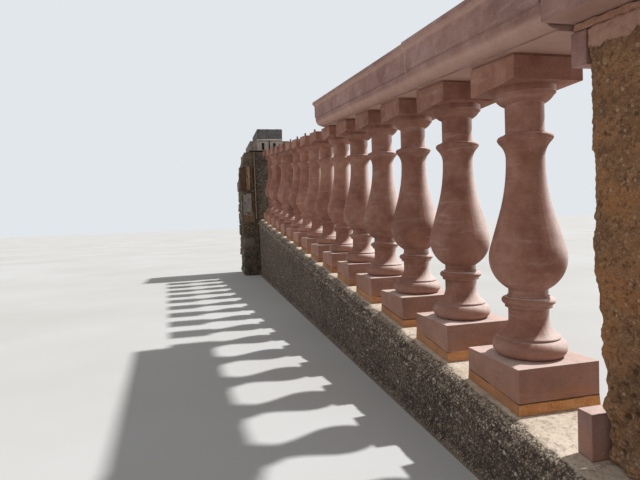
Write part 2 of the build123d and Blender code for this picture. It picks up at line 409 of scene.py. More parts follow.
    def facing(self, side: Direction) -> Socket:
        """How far the surface faces a side.

        Args:
            side: The way to the side, of unit length.

        Returns:
            A value from -1 to 1.
        """
        node = self.add("ShaderNodeVectorMath", operation="DOT_PRODUCT")
        self.feed(node.inputs[0], self.surface("Normal"))
        node.inputs[1].default_value = side
        return node.outputs["Value"]

    def swelling(self) -> Socket:
        """How far the surface swells out: under 0.5 in hollows, over 0.5 on ridges."""
        return self.surface("Pointiness")

    def per_piece(self) -> Socket:
        """One random value for each loose stone of a mesh."""
        return self.surface("Random Per Island")

    def rounded(self, radius: float) -> Socket:
        """The normal as if the arrises were rounded.

        Args:
            radius: Radius of the arrises.

        Returns:
            The rounded normal.
        """
        bevel = self.add("ShaderNodeBevel", samples=self.bevel_samples)
        self.feed(bevel.inputs["Radius"], radius)
        return bevel.outputs["Normal"]

    def worn_edge(self, radius: float) -> Socket:
        """How near an arris the surface is.

        Args:
            radius: How far from the arris it reaches.

        Returns:
            A value from 0 to 1.
        """
        node = self.add("ShaderNodeVectorMath", operation="DOT_PRODUCT")
        self.feed(node.inputs[0], self.rounded(radius))
        self.feed(node.inputs[1], self.surface("Normal"))
        return self.span(node.outputs["Value"], self.arris_turn)

    def bump(self, height: Socket, arris: float = 0.0) -> Socket:
        """Raises the surface by a height in metres, with softened arrises.

        Args:
            height: Height of the relief.
            arris: Radius of the arrises, or 0 for none.

        Returns:
            The new normal.
        """
        node = self.add("ShaderNodeBump")
        self.feed(node.inputs["Strength"], 1.0)
        self.feed(node.inputs["Distance"], 1.0)
        self.feed(node.inputs["Height"], height)
        if arris:
            self.feed(node.inputs["Normal"], self.rounded(arris))
        return node.outputs["Normal"]

    def relief(self, *layers: tuple[Socket, float]) -> Socket:
        """Adds up layers of relief.

        Args:
            layers: A value and its height in metres for each layer.

        Returns:
            The whole height.
        """
        total: Value = 0.0
        for value, height in layers:
            total = self.calc(Calc.MULTIPLY_ADD, value, height, total)
        return total

    def done(
        self, colour: Socket, roughness: Value, normal: Socket, metallic: Value = 0.0
    ) -> bpy.types.Material:
        """Joins the steps to the surface shader.

        Args:
            colour: Base colour.
            roughness: How dull it is.
            normal: The normal with its relief.
            metallic: Share of bare metal.

        Returns:
            The finished material.
        """
        shader = self.add("ShaderNodeBsdfPrincipled")
        self.feed(shader.inputs["Base Color"], colour)
        self.feed(shader.inputs["Roughness"], roughness)
        self.feed(shader.inputs["Metallic"], metallic)
        self.feed(shader.inputs["Normal"], normal)
        self.feed(shader.inputs["Specular IOR Level"], self.specular)
        output = self.add("ShaderNodeOutputMaterial")
        self.feed(output.inputs["Surface"], shader.outputs["BSDF"])
        return self.material


@dataclass(frozen=True)
class CastStone:
    """Fine pink-brown cast stone: mottled, dusty, with small air holes and worn arrises. A painted
    highlight pales the side that the key lamp lights, and painted bounce light can pale faces turned down
    and the foot of the blocks.
    """

    name: str = "cast_stone"
    slot: str = "cast_stone"
    dark: Colour = (119, 76, 61)
    middle: Colour = (147, 101, 84)
    light: Colour = (170, 127, 111)
    # Pale bloom, which is also the colour of the painted highlight on the lit side.
    bloom_and_highlight: Colour = (230, 210, 201)
    dust: Colour = (182, 118, 76)
    pale_dust_and_bounce: Colour = (178, 142, 126)
    underside_bounce: Colour = (200, 162, 146)
    hole_shade: Colour = (84, 52, 42)
    underside_bounce_share: float = 0.0
    by_piece: bool = True
    arris: float = 0.0016
    worn_arris: float = 0.003
    broad: Noise = Noise(3.1, 5.0, 0.6)
    patch: Noise = Noise(17.0, 6.0, 0.68)
    grain: Noise = Noise(520.0, 2.0)
    rings: Noise = Noise(1.0, 3.0, squeeze=(6.0, 6.0, 240.0))
    streak: Noise = Noise(9.0, 5.0, 0.7, squeeze=(1.0, 1.0, 7.0))
    smear: Noise = Noise(13.0, 6.0, 0.7)
    splash: Noise = Noise(7.0, 4.0, 0.6)
    speck_scale: float = 330.0
    hole_scale: float = 150.0
    broad_share: float = 0.55
    tone_places: tuple[float, ...] = (0.36, 0.5, 0.64)
    piece_tones: Reach = Reach(0.0, 1.0, 0.88, 1.08)
    streaked: Reach = Reach(0.52, 0.72, 0.0, 0.14)
    downward: Reach = Reach(-0.1, -0.55)
    weathered: Reach = Reach(0.12, 0.6)
    highlight_patches: Reach = Reach(0.3, 0.6, 0.72, 0.92)
    dusty_bounce_foot: Reach = Reach(0.16, 0.09, 0.0, 0.34)
    stained_foot: Reach = Reach(0.065, 0.028, 0.0, 0.5)
    smeared: Reach = Reach(0.44, 0.64)
    splashed: Reach = Reach(0.58, 0.72, 0.0, 0.22)
    pale_specks: Reach = Reach(0.80, 0.82, 0.0, 0.07)
    speck_middles: Reach = Reach(0.45, 0.3)
    dark_specks: Reach = Reach(0.2, 0.18, 0.0, 0.12)
    hole_middles: Reach = Reach(0.16, 0.09)
    holed: Reach = Reach(0.86, 0.88)
    hole_depth: float = 0.75
    rubbed: Reach = Reach(0.38, 0.6, 0.0, 0.22)
    dullness: Reach = Reach(0.3, 0.7, 0.92, 0.78)
    grain_height: float = 0.00025
    patch_height: float = 0.0012
    hole_height: float = -0.0012
    ring_height: float = 0.00035
    speck_height: float = 0.00012

    def material(self) -> bpy.types.Material:
        """Builds the material.

        Returns:
            The finished material.
        """
        p = Pattern(self.name)
        patch = p.noise(self.patch)
        tone = p.average(p.noise(self.broad), patch, self.broad_share)
        colour = p.ramp(tone, self.tone_places, (self.dark, self.middle, self.light))
        if self.by_piece:
            colour = p.blend(1.0, colour, self.piece_tone(p), Blend.DARKEN)
        colour = self.weather_and_highlight(p, colour, patch)
        colour = self.soil_and_brighten_foot(p, colour)
        speck, lot = p.cells(self.speck_scale)
        pale = p.times(p.span(lot, self.pale_specks), p.span(speck, self.speck_middles))
        colour = p.blend(pale, colour, self.bloom_and_highlight)
        colour = p.blend(p.span(lot, self.dark_specks), colour, self.dark)
        hole, chosen = p.cells(self.hole_scale)
        hole = p.times(p.span(hole, self.hole_middles), p.span(chosen, self.holed))
        colour = p.blend(p.times(hole, self.hole_depth), colour, self.hole_shade)
        rubbed = p.times(p.worn_edge(self.worn_arris), p.span(patch, self.rubbed))
        colour = p.blend(rubbed, colour, self.bloom_and_highlight)
        relief = p.relief(
            (p.noise(self.grain), self.grain_height),
            (patch, self.patch_height),
            (hole, self.hole_height),
            (p.noise(self.rings), self.ring_height),
            (lot, self.speck_height),
        )
        return p.done(colour, p.span(patch, self.dullness), p.bump(relief, self.arris))

    def piece_tone(self, p: Pattern) -> Socket:
        """Gives each baluster of the row its own tone.

        Args:
            p: The material being written.

        Returns:
            A grey to darken the colour with.
        """
        number = p.calc(Calc.MULTIPLY_ADD, p.axis("X"), 1 / ROW.spacing, 0.5 - ROW.first_axis / ROW.spacing)
        chance = p.add("ShaderNodeTexWhiteNoise", noise_dimensions="1D")
        p.feed(chance.inputs["W"], p.calc(Calc.FLOOR, number))
        return p.grey(p.span(chance.outputs["Value"], self.piece_tones))

    def weather_and_highlight(self, p: Pattern, colour: Socket, patch: Socket) -> Socket:
        """Streaks the stone with pale bloom, paints bounce light on faces turned down where asked, and
        paints a highlight on the lit side.

        Args:
            p: The material being written.
            colour: Its colour so far.
            patch: Its patchy noise.

        Returns:
            The new colour.
        """
        colour = p.blend(p.span(p.noise(self.streak), self.streaked), colour, self.bloom_and_highlight)
        if self.underside_bounce_share:
            # Painted bounce light: faces turned down are paled as if the ground lit them.
            colour = p.blend(p.span(p.facing_up(), self.downward, self.underside_bounce_share), colour, self.underside_bounce)
        # Painted highlight: patchy pale colour on the faces turned towards the key lamp.
        painted_highlight = p.times(p.span(p.facing(LIT_SIDE), self.weathered), p.span(patch, self.highlight_patches))
        return p.blend(painted_highlight, colour, self.bloom_and_highlight)

    def soil_and_brighten_foot(self, p: Pattern, colour: Socket) -> Socket:
        """Lays pale dust, which also paints bounce light, and smears of bedding mortar low on the base
        blocks.

        Args:
            p: The material being written.
            colour: Its colour so far.

        Returns:
            The new colour.
        """
        # Pale dust with painted bounce light from the kerb, just above the kerb.
        colour = p.blend(p.span(p.above_kerb(), self.dusty_bounce_foot), colour, self.pale_dust_and_bounce)
        foot = p.span(p.above_kerb(), self.stained_foot)
        splash = p.span(p.noise(self.splash), self.splashed)
        stain = p.times(p.span(p.noise(self.smear), self.smeared), p.calc(Calc.LARGER, foot, splash))
        return p.blend(stain, colour, self.dust)


@dataclass(frozen=True)
class Mortar:
    """Sandy mortar with trowel marks, grains and a shadow line under what it carries, and where asked
    painted shade on faces towards the street.
    """

    name: str
    slot: str
    dark: Colour
    middle: Colour
    light: Colour
    open_joint: bool = False
    shade_and_stain: Colour | None = None
    joint_shade: Colour = (52, 32, 24)
    broad: Noise = Noise(6.0, 5.0, 0.62)
    drag: Noise = Noise(14.0, 5.0, 0.7, squeeze=(1.0, 1.0, 4.0))
    fine: Noise = Noise(160.0, 3.0)
    blotch: Noise = Noise(8.0, 5.0, 0.6)
    joint_wander: Noise = Noise(12.0)
    joint_breaks: Noise = Noise(5.0, 3.0)
    grain_scale: float = 420.0
    tone_places: tuple[float, ...] = (0.34, 0.5, 0.66)
    pale_grains: Reach = Reach(0.74, 0.78, 0.0, 0.35)
    dark_grains: Reach = Reach(0.2, 0.16, 0.0, 0.45)
    uphill: Reach = Reach(2.25, 0.9, 0.0, 0.8)
    street: Reach = Reach(0.3, 0.9, 0.0, 0.72)
    blotched: Reach = Reach(0.4, 0.6, 0.65, 1.0)
    open_parts: Reach = Reach(0.4, 0.56)
    joint_half: float = 0.0012
    joint_sway: float = 0.006
    joint_depth: float = 0.85
    dullness: float = 0.9
    grain_height: float = -0.0005
    drag_height: float = 0.0022
    fine_height: float = 0.0012
    joint_height: float = -0.003

    def material(self) -> bpy.types.Material:
        """Builds the material.

        Returns:
            The finished material.
        """
        p = Pattern(self.name)
        drag = p.noise(self.drag)
        tone = p.average(p.noise(self.broad), drag)
        colour = p.ramp(tone, self.tone_places, (self.dark, self.middle, self.light))
        grain, lot = p.cells(self.grain_scale)
        colour = p.blend(p.span(lot, self.pale_grains), colour, self.light)
        colour = p.blend(p.span(lot, self.dark_grains), colour, self.dark)
        layers = [(grain, self.grain_height), (drag, self.drag_height)]
        layers.append((p.noise(self.fine), self.fine_height))
        if self.shade_and_stain:
            # Painted shade on the faces towards the street, and darker blotches towards the uphill end.
            street = p.span(p.facing(STREET_SIDE), self.street)
            place = p.calc(Calc.LARGER, p.span(p.axis("X"), self.uphill), street)
            stain = p.times(place, p.span(p.noise(self.blotch), self.blotched))
            colour = p.blend(stain, colour, self.shade_and_stain)
        if self.open_joint:
            gap = self.joint_line(p)
            colour = p.blend(p.times(gap, self.joint_depth), colour, self.joint_shade)
            layers.append((gap, self.joint_height))
        return p.done(colour, self.dullness, p.bump(p.relief(*layers)))

    def joint_line(self, p: Pattern) -> Socket:
        """Finds the open joint between a bed and the block on it.

        Args:
            p: The material being written.

        Returns:
            How far the joint is open, from 0 to 1.
        """
        line = p.calc(Calc.ADD, p.above_kerb(), p.times(p.noise(self.joint_wander), self.joint_sway))
        joint = Reach(ROW.bed_height - self.joint_half, ROW.bed_height + self.joint_half)
        return p.times(p.span(line, joint), p.span(p.noise(self.joint_breaks), self.open_parts))


@dataclass(frozen=True)
class Aggregate:
    """Concrete or conglomerate with stones of several sizes showing in a matrix, painted shade in its
    hollows, cavities and grain gaps, and a painted highlight on its ridges and sloping edges.
    """

    name: str
    slot: str
    deep: Colour
    matrix: Colour
    pale: Colour
    stones: tuple[Colour, Colour, Colour, Colour]
    clay: Colour
    coarse: float = 60.0
    fine: float = 190.0
    # Trowelled top colour, which is also the painted highlight on the sloping edge.
    laid_and_lit: Colour = (192, 176, 156)
    laid_pale: Colour = (214, 199, 180)
    foot_pebble: Colour = (158, 146, 132)
    smear: Colour = (172, 134, 116)
    smooth_top: float = 0.0
    clay_share: float = 0.35
    stone_share: float = 0.45
    grain_share: float = 0.62
    gap_shade_share: float = 0.8
    cavity_shade_share: float = 0.0
    grey_foot: float = 0.0
    smeared_head: float = 0.0
    broad: Noise = Noise(5.0, 6.0, 0.62)
    patch: Noise = Noise(28.0, 6.0, 0.7)
    grains: Noise = Noise(300.0, 3.0)
    foot_wander: Noise = Noise(14.0)
    head_wander: Noise = Noise(22.0, 5.0, 0.6)
    trowel_marks: Noise = Noise(11.0, 6.0, 0.66)
    tone_places: tuple[float, ...] = (0.36, 0.5, 0.66)
    laid_places: tuple[float, ...] = (0.35, 0.55)
    stone_lots: tuple[float, ...] = (0.0, 0.33, 0.66, 0.88)
    grain_lots: tuple[float, ...] = (0.0, 0.3, 0.6, 0.85)
    clayey: Reach = Reach(0.5, 0.62)
    stone_middles: Reach = Reach(0.52, 0.40)
    stone_cover: float = 0.8
    lot_edge: float = 0.03
    grain_middles: Reach = Reach(0.55, 0.42)
    grain_chosen: Reach = Reach(0.35, 0.4)
    hollow_edges: Reach = Reach(0.5, 0.66)
    hollow_patches: Reach = Reach(0.46, 0.6)
    cavities: Reach = Reach(0.495, 0.44)
    ridges: Reach = Reach(0.51, 0.57, 0.0, 0.45)
    foot_sway: float = 0.16
    foot_fade: float = 0.13
    foot_middles: Reach = Reach(0.6, 0.45)
    foot_chosen: Reach = Reach(0.4, 0.6, 0.1, 0.75)
    head_sway: float = 0.09
    head_fade: float = 0.006
    head_cover: float = 0.85
    head_relief: Reach = Reach(0.0, 1.0, 1.0, 0.25)
    slopes: Reach = Reach(0.5, 0.85)
    slope_patches: Reach = Reach(0.36, 0.5, 0.3, 0.9)
    gap_slopes: Reach = Reach(0.985, 0.95)
    gap_edges: Reach = Reach(0.4, 0.58, 0.0, 0.74)
    flats: Reach = Reach(0.93, 0.99)
    flat_patches: Reach = Reach(0.34, 0.5, 0.55, 1.0)
    dark_laid: Reach = Reach(0.88, 0.9, 0.0, 0.3)
    laid_relief: Reach = Reach(0.0, 1.0, 1.0, 0.3)
    stone_rise: float = -0.3
    grain_rise: float = -0.42
    patch_height: float = 0.003
    fine_height: float = 0.0007
    dullness: float = 0.93

    def material(self) -> bpy.types.Material:
        """Builds the material.

        Returns:
            The finished material.
        """
        p = Pattern(self.name)
        broad = p.noise(self.broad)
        patch = p.noise(self.patch)
        colour = p.ramp(p.average(broad, patch), self.tone_places, (self.deep, self.matrix, self.pale))
        colour = p.blend(p.span(broad, self.clayey, self.clay_share), colour, self.clay)
        large, large_lot = p.cells(self.coarse)
        small, small_lot = p.cells(self.fine)
        colour = self.show_stones(p, colour, large, large_lot)
        shown = p.times(p.span(small, self.grain_middles), p.span(small_lot, self.grain_chosen))
        grains = p.ramp(small_lot, self.grain_lots, self.stones)
        colour = p.blend(p.times(shown, self.grain_share), colour, grains)
        if self.grey_foot:
            colour = self.bare_foot(p, colour, large, large_lot)
        raw: Value = 1.0
        if self.smeared_head:
            colour, raw = self.smear_head(p, colour)
        if self.smooth_top:
            colour, raw = self.trowel_top(p, colour, patch, small, small_lot)
        # Painted shade in the hollows between the large stones.
        hollow = p.times(p.span(large, self.hollow_edges), p.span(patch, self.hollow_patches))
        colour = p.blend(p.times(p.times(hollow, raw), self.gap_shade_share), colour, self.deep)
        if self.cavity_shade_share:
            # Dirt and painted shade in concave places, and a painted highlight on the ridges.
            sunk = p.times(p.span(p.swelling(), self.cavities), p.times(raw, self.cavity_shade_share))
            colour = p.blend(sunk, colour, self.deep)
            colour = p.blend(p.times(p.span(p.swelling(), self.ridges), raw), colour, self.pale)
        heights = p.relief(
            (large, self.stone_rise / self.coarse),
            (small, self.grain_rise / self.fine),
            (patch, self.patch_height),
            (p.noise(self.grains), self.fine_height),
        )
        return p.done(colour, self.dullness, p.bump(p.times(heights, raw)))

    def show_stones(self, p: Pattern, colour: Socket, large: Socket, lot: Socket) -> Socket:
        """Lets the large stones show in the matrix.

        Args:
            p: The material being written.
            colour: Its colour so far.
            large: Distance from the middle of each large stone.
            lot: One random value per large stone.

        Returns:
            The new colour.
        """
        least_lot = 1.0 - self.stone_share
        chosen = p.span(lot, Reach(least_lot, least_lot + self.lot_edge))
        shown = p.times(p.span(large, self.stone_middles), chosen)
        places = tuple(least_lot + self.stone_share * share for share in self.stone_lots)
        return p.blend(p.times(shown, self.stone_cover), colour, p.ramp(lot, places, self.stones))

    def bare_foot(self, p: Pattern, colour: Socket, large: Socket, lot: Socket) -> Socket:
        """Bares grey pebbles low down, where the matrix has washed out.

        Args:
            p: The material being written.
            colour: Its colour so far.
            large: Distance from the middle of each pebble.
            lot: One random value per pebble.

        Returns:
            The new colour.
        """
        height = p.calc(Calc.MULTIPLY_ADD, p.noise(self.foot_wander), self.foot_sway, p.above_kerb())
        low = p.span(height, Reach(self.grey_foot + self.foot_fade, self.grey_foot))
        pebble = p.times(p.span(large, self.foot_middles), p.span(lot, self.foot_chosen))
        return p.blend(p.times(low, pebble), colour, self.foot_pebble)

    def smear_head(self, p: Pattern, colour: Socket) -> tuple[Socket, Socket]:
        """Smears mortar over the head, under the coping.

        Args:
            p: The material being written.
            colour: Its colour so far.

        Returns:
            The new colour, and how much of the relief stays.
        """
        height = p.calc(Calc.MULTIPLY_ADD, p.noise(self.head_wander), self.head_sway, p.above_kerb())
        trowelled = p.span(height, Reach(self.smeared_head, self.smeared_head + self.head_fade))
        colour = p.blend(p.times(trowelled, self.head_cover), colour, self.smear)
        return colour, p.span(trowelled, self.head_relief)

    def trowel_top(
        self, p: Pattern, colour: Socket, patch: Socket, small: Socket, lot: Socket
    ) -> tuple[Socket, Socket]:
        """Trowels the flat top smooth; beside it, paints a highlight on the grains of the sloping edge and
        painted shade in the gaps between them.

        Args:
            p: The material being written.
            colour: Its colour so far.
            patch: Its patchy noise.
            small: Distance from the middle of each grain.
            lot: One random value per grain.

        Returns:
            The new colour, and how much of the relief stays.
        """
        up = p.facing_up()
        # Painted highlight: upward parts of the sloping edge are paled as if lit.
        lit_slope = p.times(p.span(up, self.slopes), p.span(patch, self.slope_patches))
        colour = p.blend(lit_slope, colour, self.laid_and_lit)
        # Painted shade in the gaps between the grains.
        gaps = p.times(p.span(up, self.gap_slopes), p.span(small, self.gap_edges))
        colour = p.blend(gaps, colour, self.deep)
        laid_and_lit = p.times(p.span(up, self.flats), p.span(patch, self.flat_patches))
        shade = p.ramp(p.noise(self.trowel_marks), self.laid_places, (self.laid_and_lit, self.laid_pale))
        shade = p.blend(p.span(lot, self.dark_laid), shade, self.deep)
        colour = p.blend(p.times(laid_and_lit, self.smooth_top), colour, shade)
        return colour, p.span(laid_and_lit, self.laid_relief)


@dataclass(frozen=True)
class OldStone:
    """Weathered stone, one tone per block, with lichen, darker patches on faces turned down and a crumbling
    skin.
    """

    name: str
    slot: str
    dark: Colour
    middle: Colour
    light: Colour
    rusty: Colour
    lichen: Colour
    by_block: bool = False
    lichen_share: float = 0.35
    fresh: Colour | None = None
    fresh_share: float = 0.72
    worn_arris: float = 0.006
    arris: float = 0.003
    broad: Noise = Noise(7.0, 6.0, 0.66)
    patch: Noise = Noise(42.0, 6.0, 0.7)
    crumble: Noise = Noise(170.0)
    spot_scale: float = 95.0
    grain_scale: float = 380.0
    tone_places: tuple[float, ...] = (0.36, 0.52, 0.66)
    rusty_blocks: Reach = Reach(0.72, 0.76, 0.0, 0.7)
    light_blocks: Reach = Reach(0.2, 0.16, 0.0, 0.55)
    block_shade: float = 0.72
    block_spread: float = 0.5
    spot_middles: Reach = Reach(0.42, 0.25)
    spot_chosen: Reach = Reach(0.72, 0.75)
    pale_grains: Reach = Reach(0.82, 0.85, 0.0, 0.4)
    dark_grains: Reach = Reach(0.2, 0.16, 0.0, 0.5)
    facing_down: Reach = Reach(0.1, -0.5, 0.0, 0.5)
    darkened_patches: Reach = Reach(0.4, 0.6)
    rubbed: Reach = Reach(0.4, 0.6, 0.15, 0.6)
    socket_blur: float = 0.004
    end_depths: Span = (0.02, 0.01)
    patch_height: float = 0.005
    grain_height: float = -0.0008
    crumble_height: float = 0.002
    dullness: float = 0.92

    def material(self) -> bpy.types.Material:
        """Builds the material.

        Returns:
            The finished material.
        """
        p = Pattern(self.name)
        broad = p.noise(self.broad)
        patch = p.noise(self.patch)
        colour = p.ramp(p.average(broad, patch), self.tone_places, (self.dark, self.middle, self.light))
        if self.by_block:
            colour = self.tone_blocks(p, colour)
        spots, lot = p.cells(self.spot_scale)
        lichen = p.times(p.span(spots, self.spot_middles), p.span(lot, self.spot_chosen, self.lichen_share))
        colour = p.blend(lichen, colour, self.lichen)
        grain, grain_lot = p.cells(self.grain_scale)
        colour = p.blend(p.span(grain_lot, self.pale_grains), colour, self.light)
        colour = p.blend(p.span(grain_lot, self.dark_grains), colour, self.dark)
        # Darker patches on faces turned down.
        downward_dark = p.times(p.span(p.facing_up(), self.facing_down), p.span(broad, self.darkened_patches))
        colour = p.blend(downward_dark, colour, self.dark)
        if self.fresh:
            colour = p.blend(p.times(self.broken_end(p), self.fresh_share), colour, self.fresh)
        rubbed = p.times(p.worn_edge(self.worn_arris), p.span(patch, self.rubbed))
        colour = p.blend(rubbed, colour, self.light)
        relief = p.relief(
            (patch, self.patch_height),
            (grain, self.grain_height),
            (p.noise(self.crumble), self.crumble_height),
        )
        return p.done(colour, self.dullness, p.bump(relief, self.arris))

    def tone_blocks(self, p: Pattern, colour: Socket) -> Socket:
        """Gives each block its own tone.

        Args:
            p: The material being written.
            colour: Its colour so far.

        Returns:
            The new colour.
        """
        chance = p.per_piece()
        colour = p.blend(p.span(chance, self.rusty_blocks), colour, self.rusty)
        colour = p.blend(p.span(chance, self.light_blocks), colour, self.light)
        shade = p.calc(Calc.MULTIPLY_ADD, chance, self.block_spread, self.block_shade)
        return p.blend(1.0, colour, p.grey(shade), Blend.DARKEN)

    def broken_end(self, p: Pattern) -> Socket:
        """Finds the fresher stone between the sockets of the band's downhill end.

        Args:
            p: The material being written.

        Returns:
            How fresh the stone is, from 0 to 1.
        """
        aside = p.calc(Calc.ABSOLUTE, p.calc(Calc.SUBTRACT, p.axis("Y"), FAR_PIER.band_middle))
        line, blur = FAR_PIER.socket_line, self.socket_blur
        between = p.span(aside, Reach(line + blur, line - blur))
        inner, outer = self.end_depths
        end = p.span(p.axis("X"), Reach(FAR_PIER.face - inner, FAR_PIER.face - outer))
        return p.times(between, end)


@dataclass(frozen=True)
class DowelSteel:
    """Bare round steel, dull and rusting in patches."""

    name: str = "dowel_steel"
    slot: str = "steel_dowel"
    steel: Colour = (96, 88, 84)
    rust: Colour = (104, 58, 34)
    spread: Noise = Noise(120.0, 5.0, 0.7)
    fine: Noise = Noise(900.0, 3.0)
    fine_share: float = 0.3
    rusting: Reach = Reach(0.44, 0.56)
    dullness: Reach = Reach(0.0, 1.0, 0.45, 0.9)
    metallic: Reach = Reach(0.0, 1.0, 0.85, 0.0)
    spread_height: float = 0.0004
    fine_height: float = 0.0002

    def material(self) -> bpy.types.Material:
        """Builds the material.

        Returns:
            The finished material.
        """
        p = Pattern(self.name)
        spread = p.noise(self.spread)
        fine = p.noise(self.fine)
        rusty = p.span(p.average(fine, spread, self.fine_share), self.rusting)
        colour = p.blend(rusty, self.steel, self.rust)
        relief = p.relief((spread, self.spread_height), (fine, self.fine_height))
        return p.done(colour, p.span(rusty, self.dullness), p.bump(relief), p.span(rusty, self.metallic))


CAST_STONE = CastStone()
COPING_STONE = CastStone(
    name="coping_stone",
    dark=(124, 90, 83),
    middle=(150, 114, 106),
    light=(171, 137, 129),
    # Painted bounce light under the mouldings.
    underside_bounce_share=0.6,
    by_piece=False,
    arris=0.006,
)
BED_MORTAR = Mortar(
    "bed_mortar",
    "mortar",
    dark=(172, 108, 64),
    middle=(206, 144, 92),
    light=(226, 174, 124),
    open_joint=True,
    shade_and_stain=(134, 94, 72),
)
PACKED_MORTAR = Mortar("packed_mortar", "mortar", (138, 98, 78), (168, 126, 104), (192, 154, 132))
THIN_BED_MORTAR = Mortar("thin_bed_mortar", "mortar", (112, 76, 62), (146, 104, 88), (170, 128, 110))
JOINT_MORTAR = Mortar("joint_mortar", "pale_joint", (168, 144, 124), (204, 184, 162), (224, 210, 192))
CAP_MORTAR = Mortar("cap_mortar", "pale_joint", (150, 144, 134), (190, 184, 172), (214, 210, 200))
KERB_CONCRETE = Aggregate(
    "kerb_concrete",
    "kerb_concrete",
    deep=(48, 37, 32),
    matrix=(110, 91, 79),
    pale=(152, 134, 118),
    stones=((96, 74, 62), (154, 136, 118), (60, 48, 43), (186, 170, 152)),
    clay=(122, 94, 76),
    coarse=80.0,
    fine=230.0,
    smooth_top=0.9,
    cavity_shade_share=0.75,
    clay_share=0.3,
    stone_share=0.3,
)
KERB_PEBBLES = OldStone(
    "kerb_pebbles",
    "kerb_concrete",
    dark=(92, 76, 66),
    middle=(164, 148, 131),
    light=(230, 217, 198),
    rusty=(146, 116, 94),
    lichen=(214, 202, 184),
    by_block=True,
)
CORE_RUBBLE = Aggregate(
    "core_rubble",
    "rubble_core",
    deep=(56, 35, 24),
    matrix=(136, 97, 67),
    pale=(168, 129, 95),
    stones=((100, 68, 48), (146, 114, 86), (70, 46, 34), (170, 144, 116)),
    clay=(162, 106, 60),
    coarse=150.0,
    fine=380.0,
    clay_share=0.6,
    stone_share=0.25,
    grain_share=0.45,
    gap_shade_share=0.6,
    cavity_shade_share=0.7,
    grey_foot=0.05,
    smeared_head=0.748,
)
SHAFT_RUBBLE = OldStone(
    "shaft_rubble",
    "rubble_shaft",
    dark=(60, 52, 44),
    middle=(104, 92, 78),
    light=(148, 137, 122),
    rusty=(124, 96, 72),
    lichen=(176, 170, 154),
    by_block=True,
)
TALL_BROWN = OldStone(
    "tall_brown",
    "rubble_shaft",
    dark=(70, 50, 42),
    middle=(100, 74, 60),
    light=(128, 102, 84),
    rusty=(112, 80, 58),
    lichen=(150, 134, 114),
)
TALL_ORANGE = OldStone(
    "tall_orange",
    "rubble_shaft",
    dark=(130, 98, 74),
    middle=(166, 128, 100),
    light=(190, 158, 130),
    rusty=(150, 108, 76),
    lichen=(190, 172, 148),
)
GREY_SLAB = OldStone(
    "grey_slab",
    "rubble_shaft",
    dark=(114, 106, 101),
    middle=(160, 151, 145),
    light=(192, 184, 176),
    rusty=(140, 124, 108),
    lichen=(200, 196, 188),
)
SHAFT_RENDER = Aggregate(
    "shaft_render",
    "rubble_shaft",
    deep=(52, 44, 38),
    matrix=(96, 86, 76),
    pale=(134, 122, 106),
    stones=((84, 66, 54), (132, 120, 104), (64, 54, 48), (150, 138, 120)),
    clay=(116, 98, 66),
    coarse=38.0,
    fine=130.0,
)
RENDER_ARRIS = Mortar("render_arris", "rubble_shaft", (118, 104, 88), (156, 142, 122), (186, 174, 154))
SHAFT_MORTAR = Aggregate(
    "shaft_mortar",
    "rubble_shaft",
    deep=(44, 36, 28),
    matrix=(92, 78, 60),
    pale=(136, 120, 96),
    stones=((80, 60, 44), (140, 124, 100), (58, 46, 36), (158, 146, 126)),
    clay=(120, 84, 52),
)
BAND_STONE = OldStone(
    "band_stone",
    "weathered_stone",
    dark=(86, 74, 68),
    middle=(132, 119, 112),
    light=(170, 159, 150),
    rusty=(128, 100, 70),
    lichen=(188, 180, 164),
    fresh=(176, 164, 154),
)
CAP_STONE = OldStone(
    "cap_stone",
    "weathered_stone",
    dark=(58, 56, 57),
    middle=(101, 97, 98),
    light=(152, 147, 143),
    rusty=(104, 92, 76),
    lichen=(150, 148, 140),
    lichen_share=0.4,
)
DOWEL_STEEL = DowelSteel()

Finish = CastStone | Mortar | Aggregate | OldStone | DowelSteel


@dataclass(frozen=True)
class Wear:
    """One layer of a broken surface: kind, width of its lumps, depth, and the share that stands proud."""

    kind: Rough
    size: float
    depth: float
    proud: float = 0.0


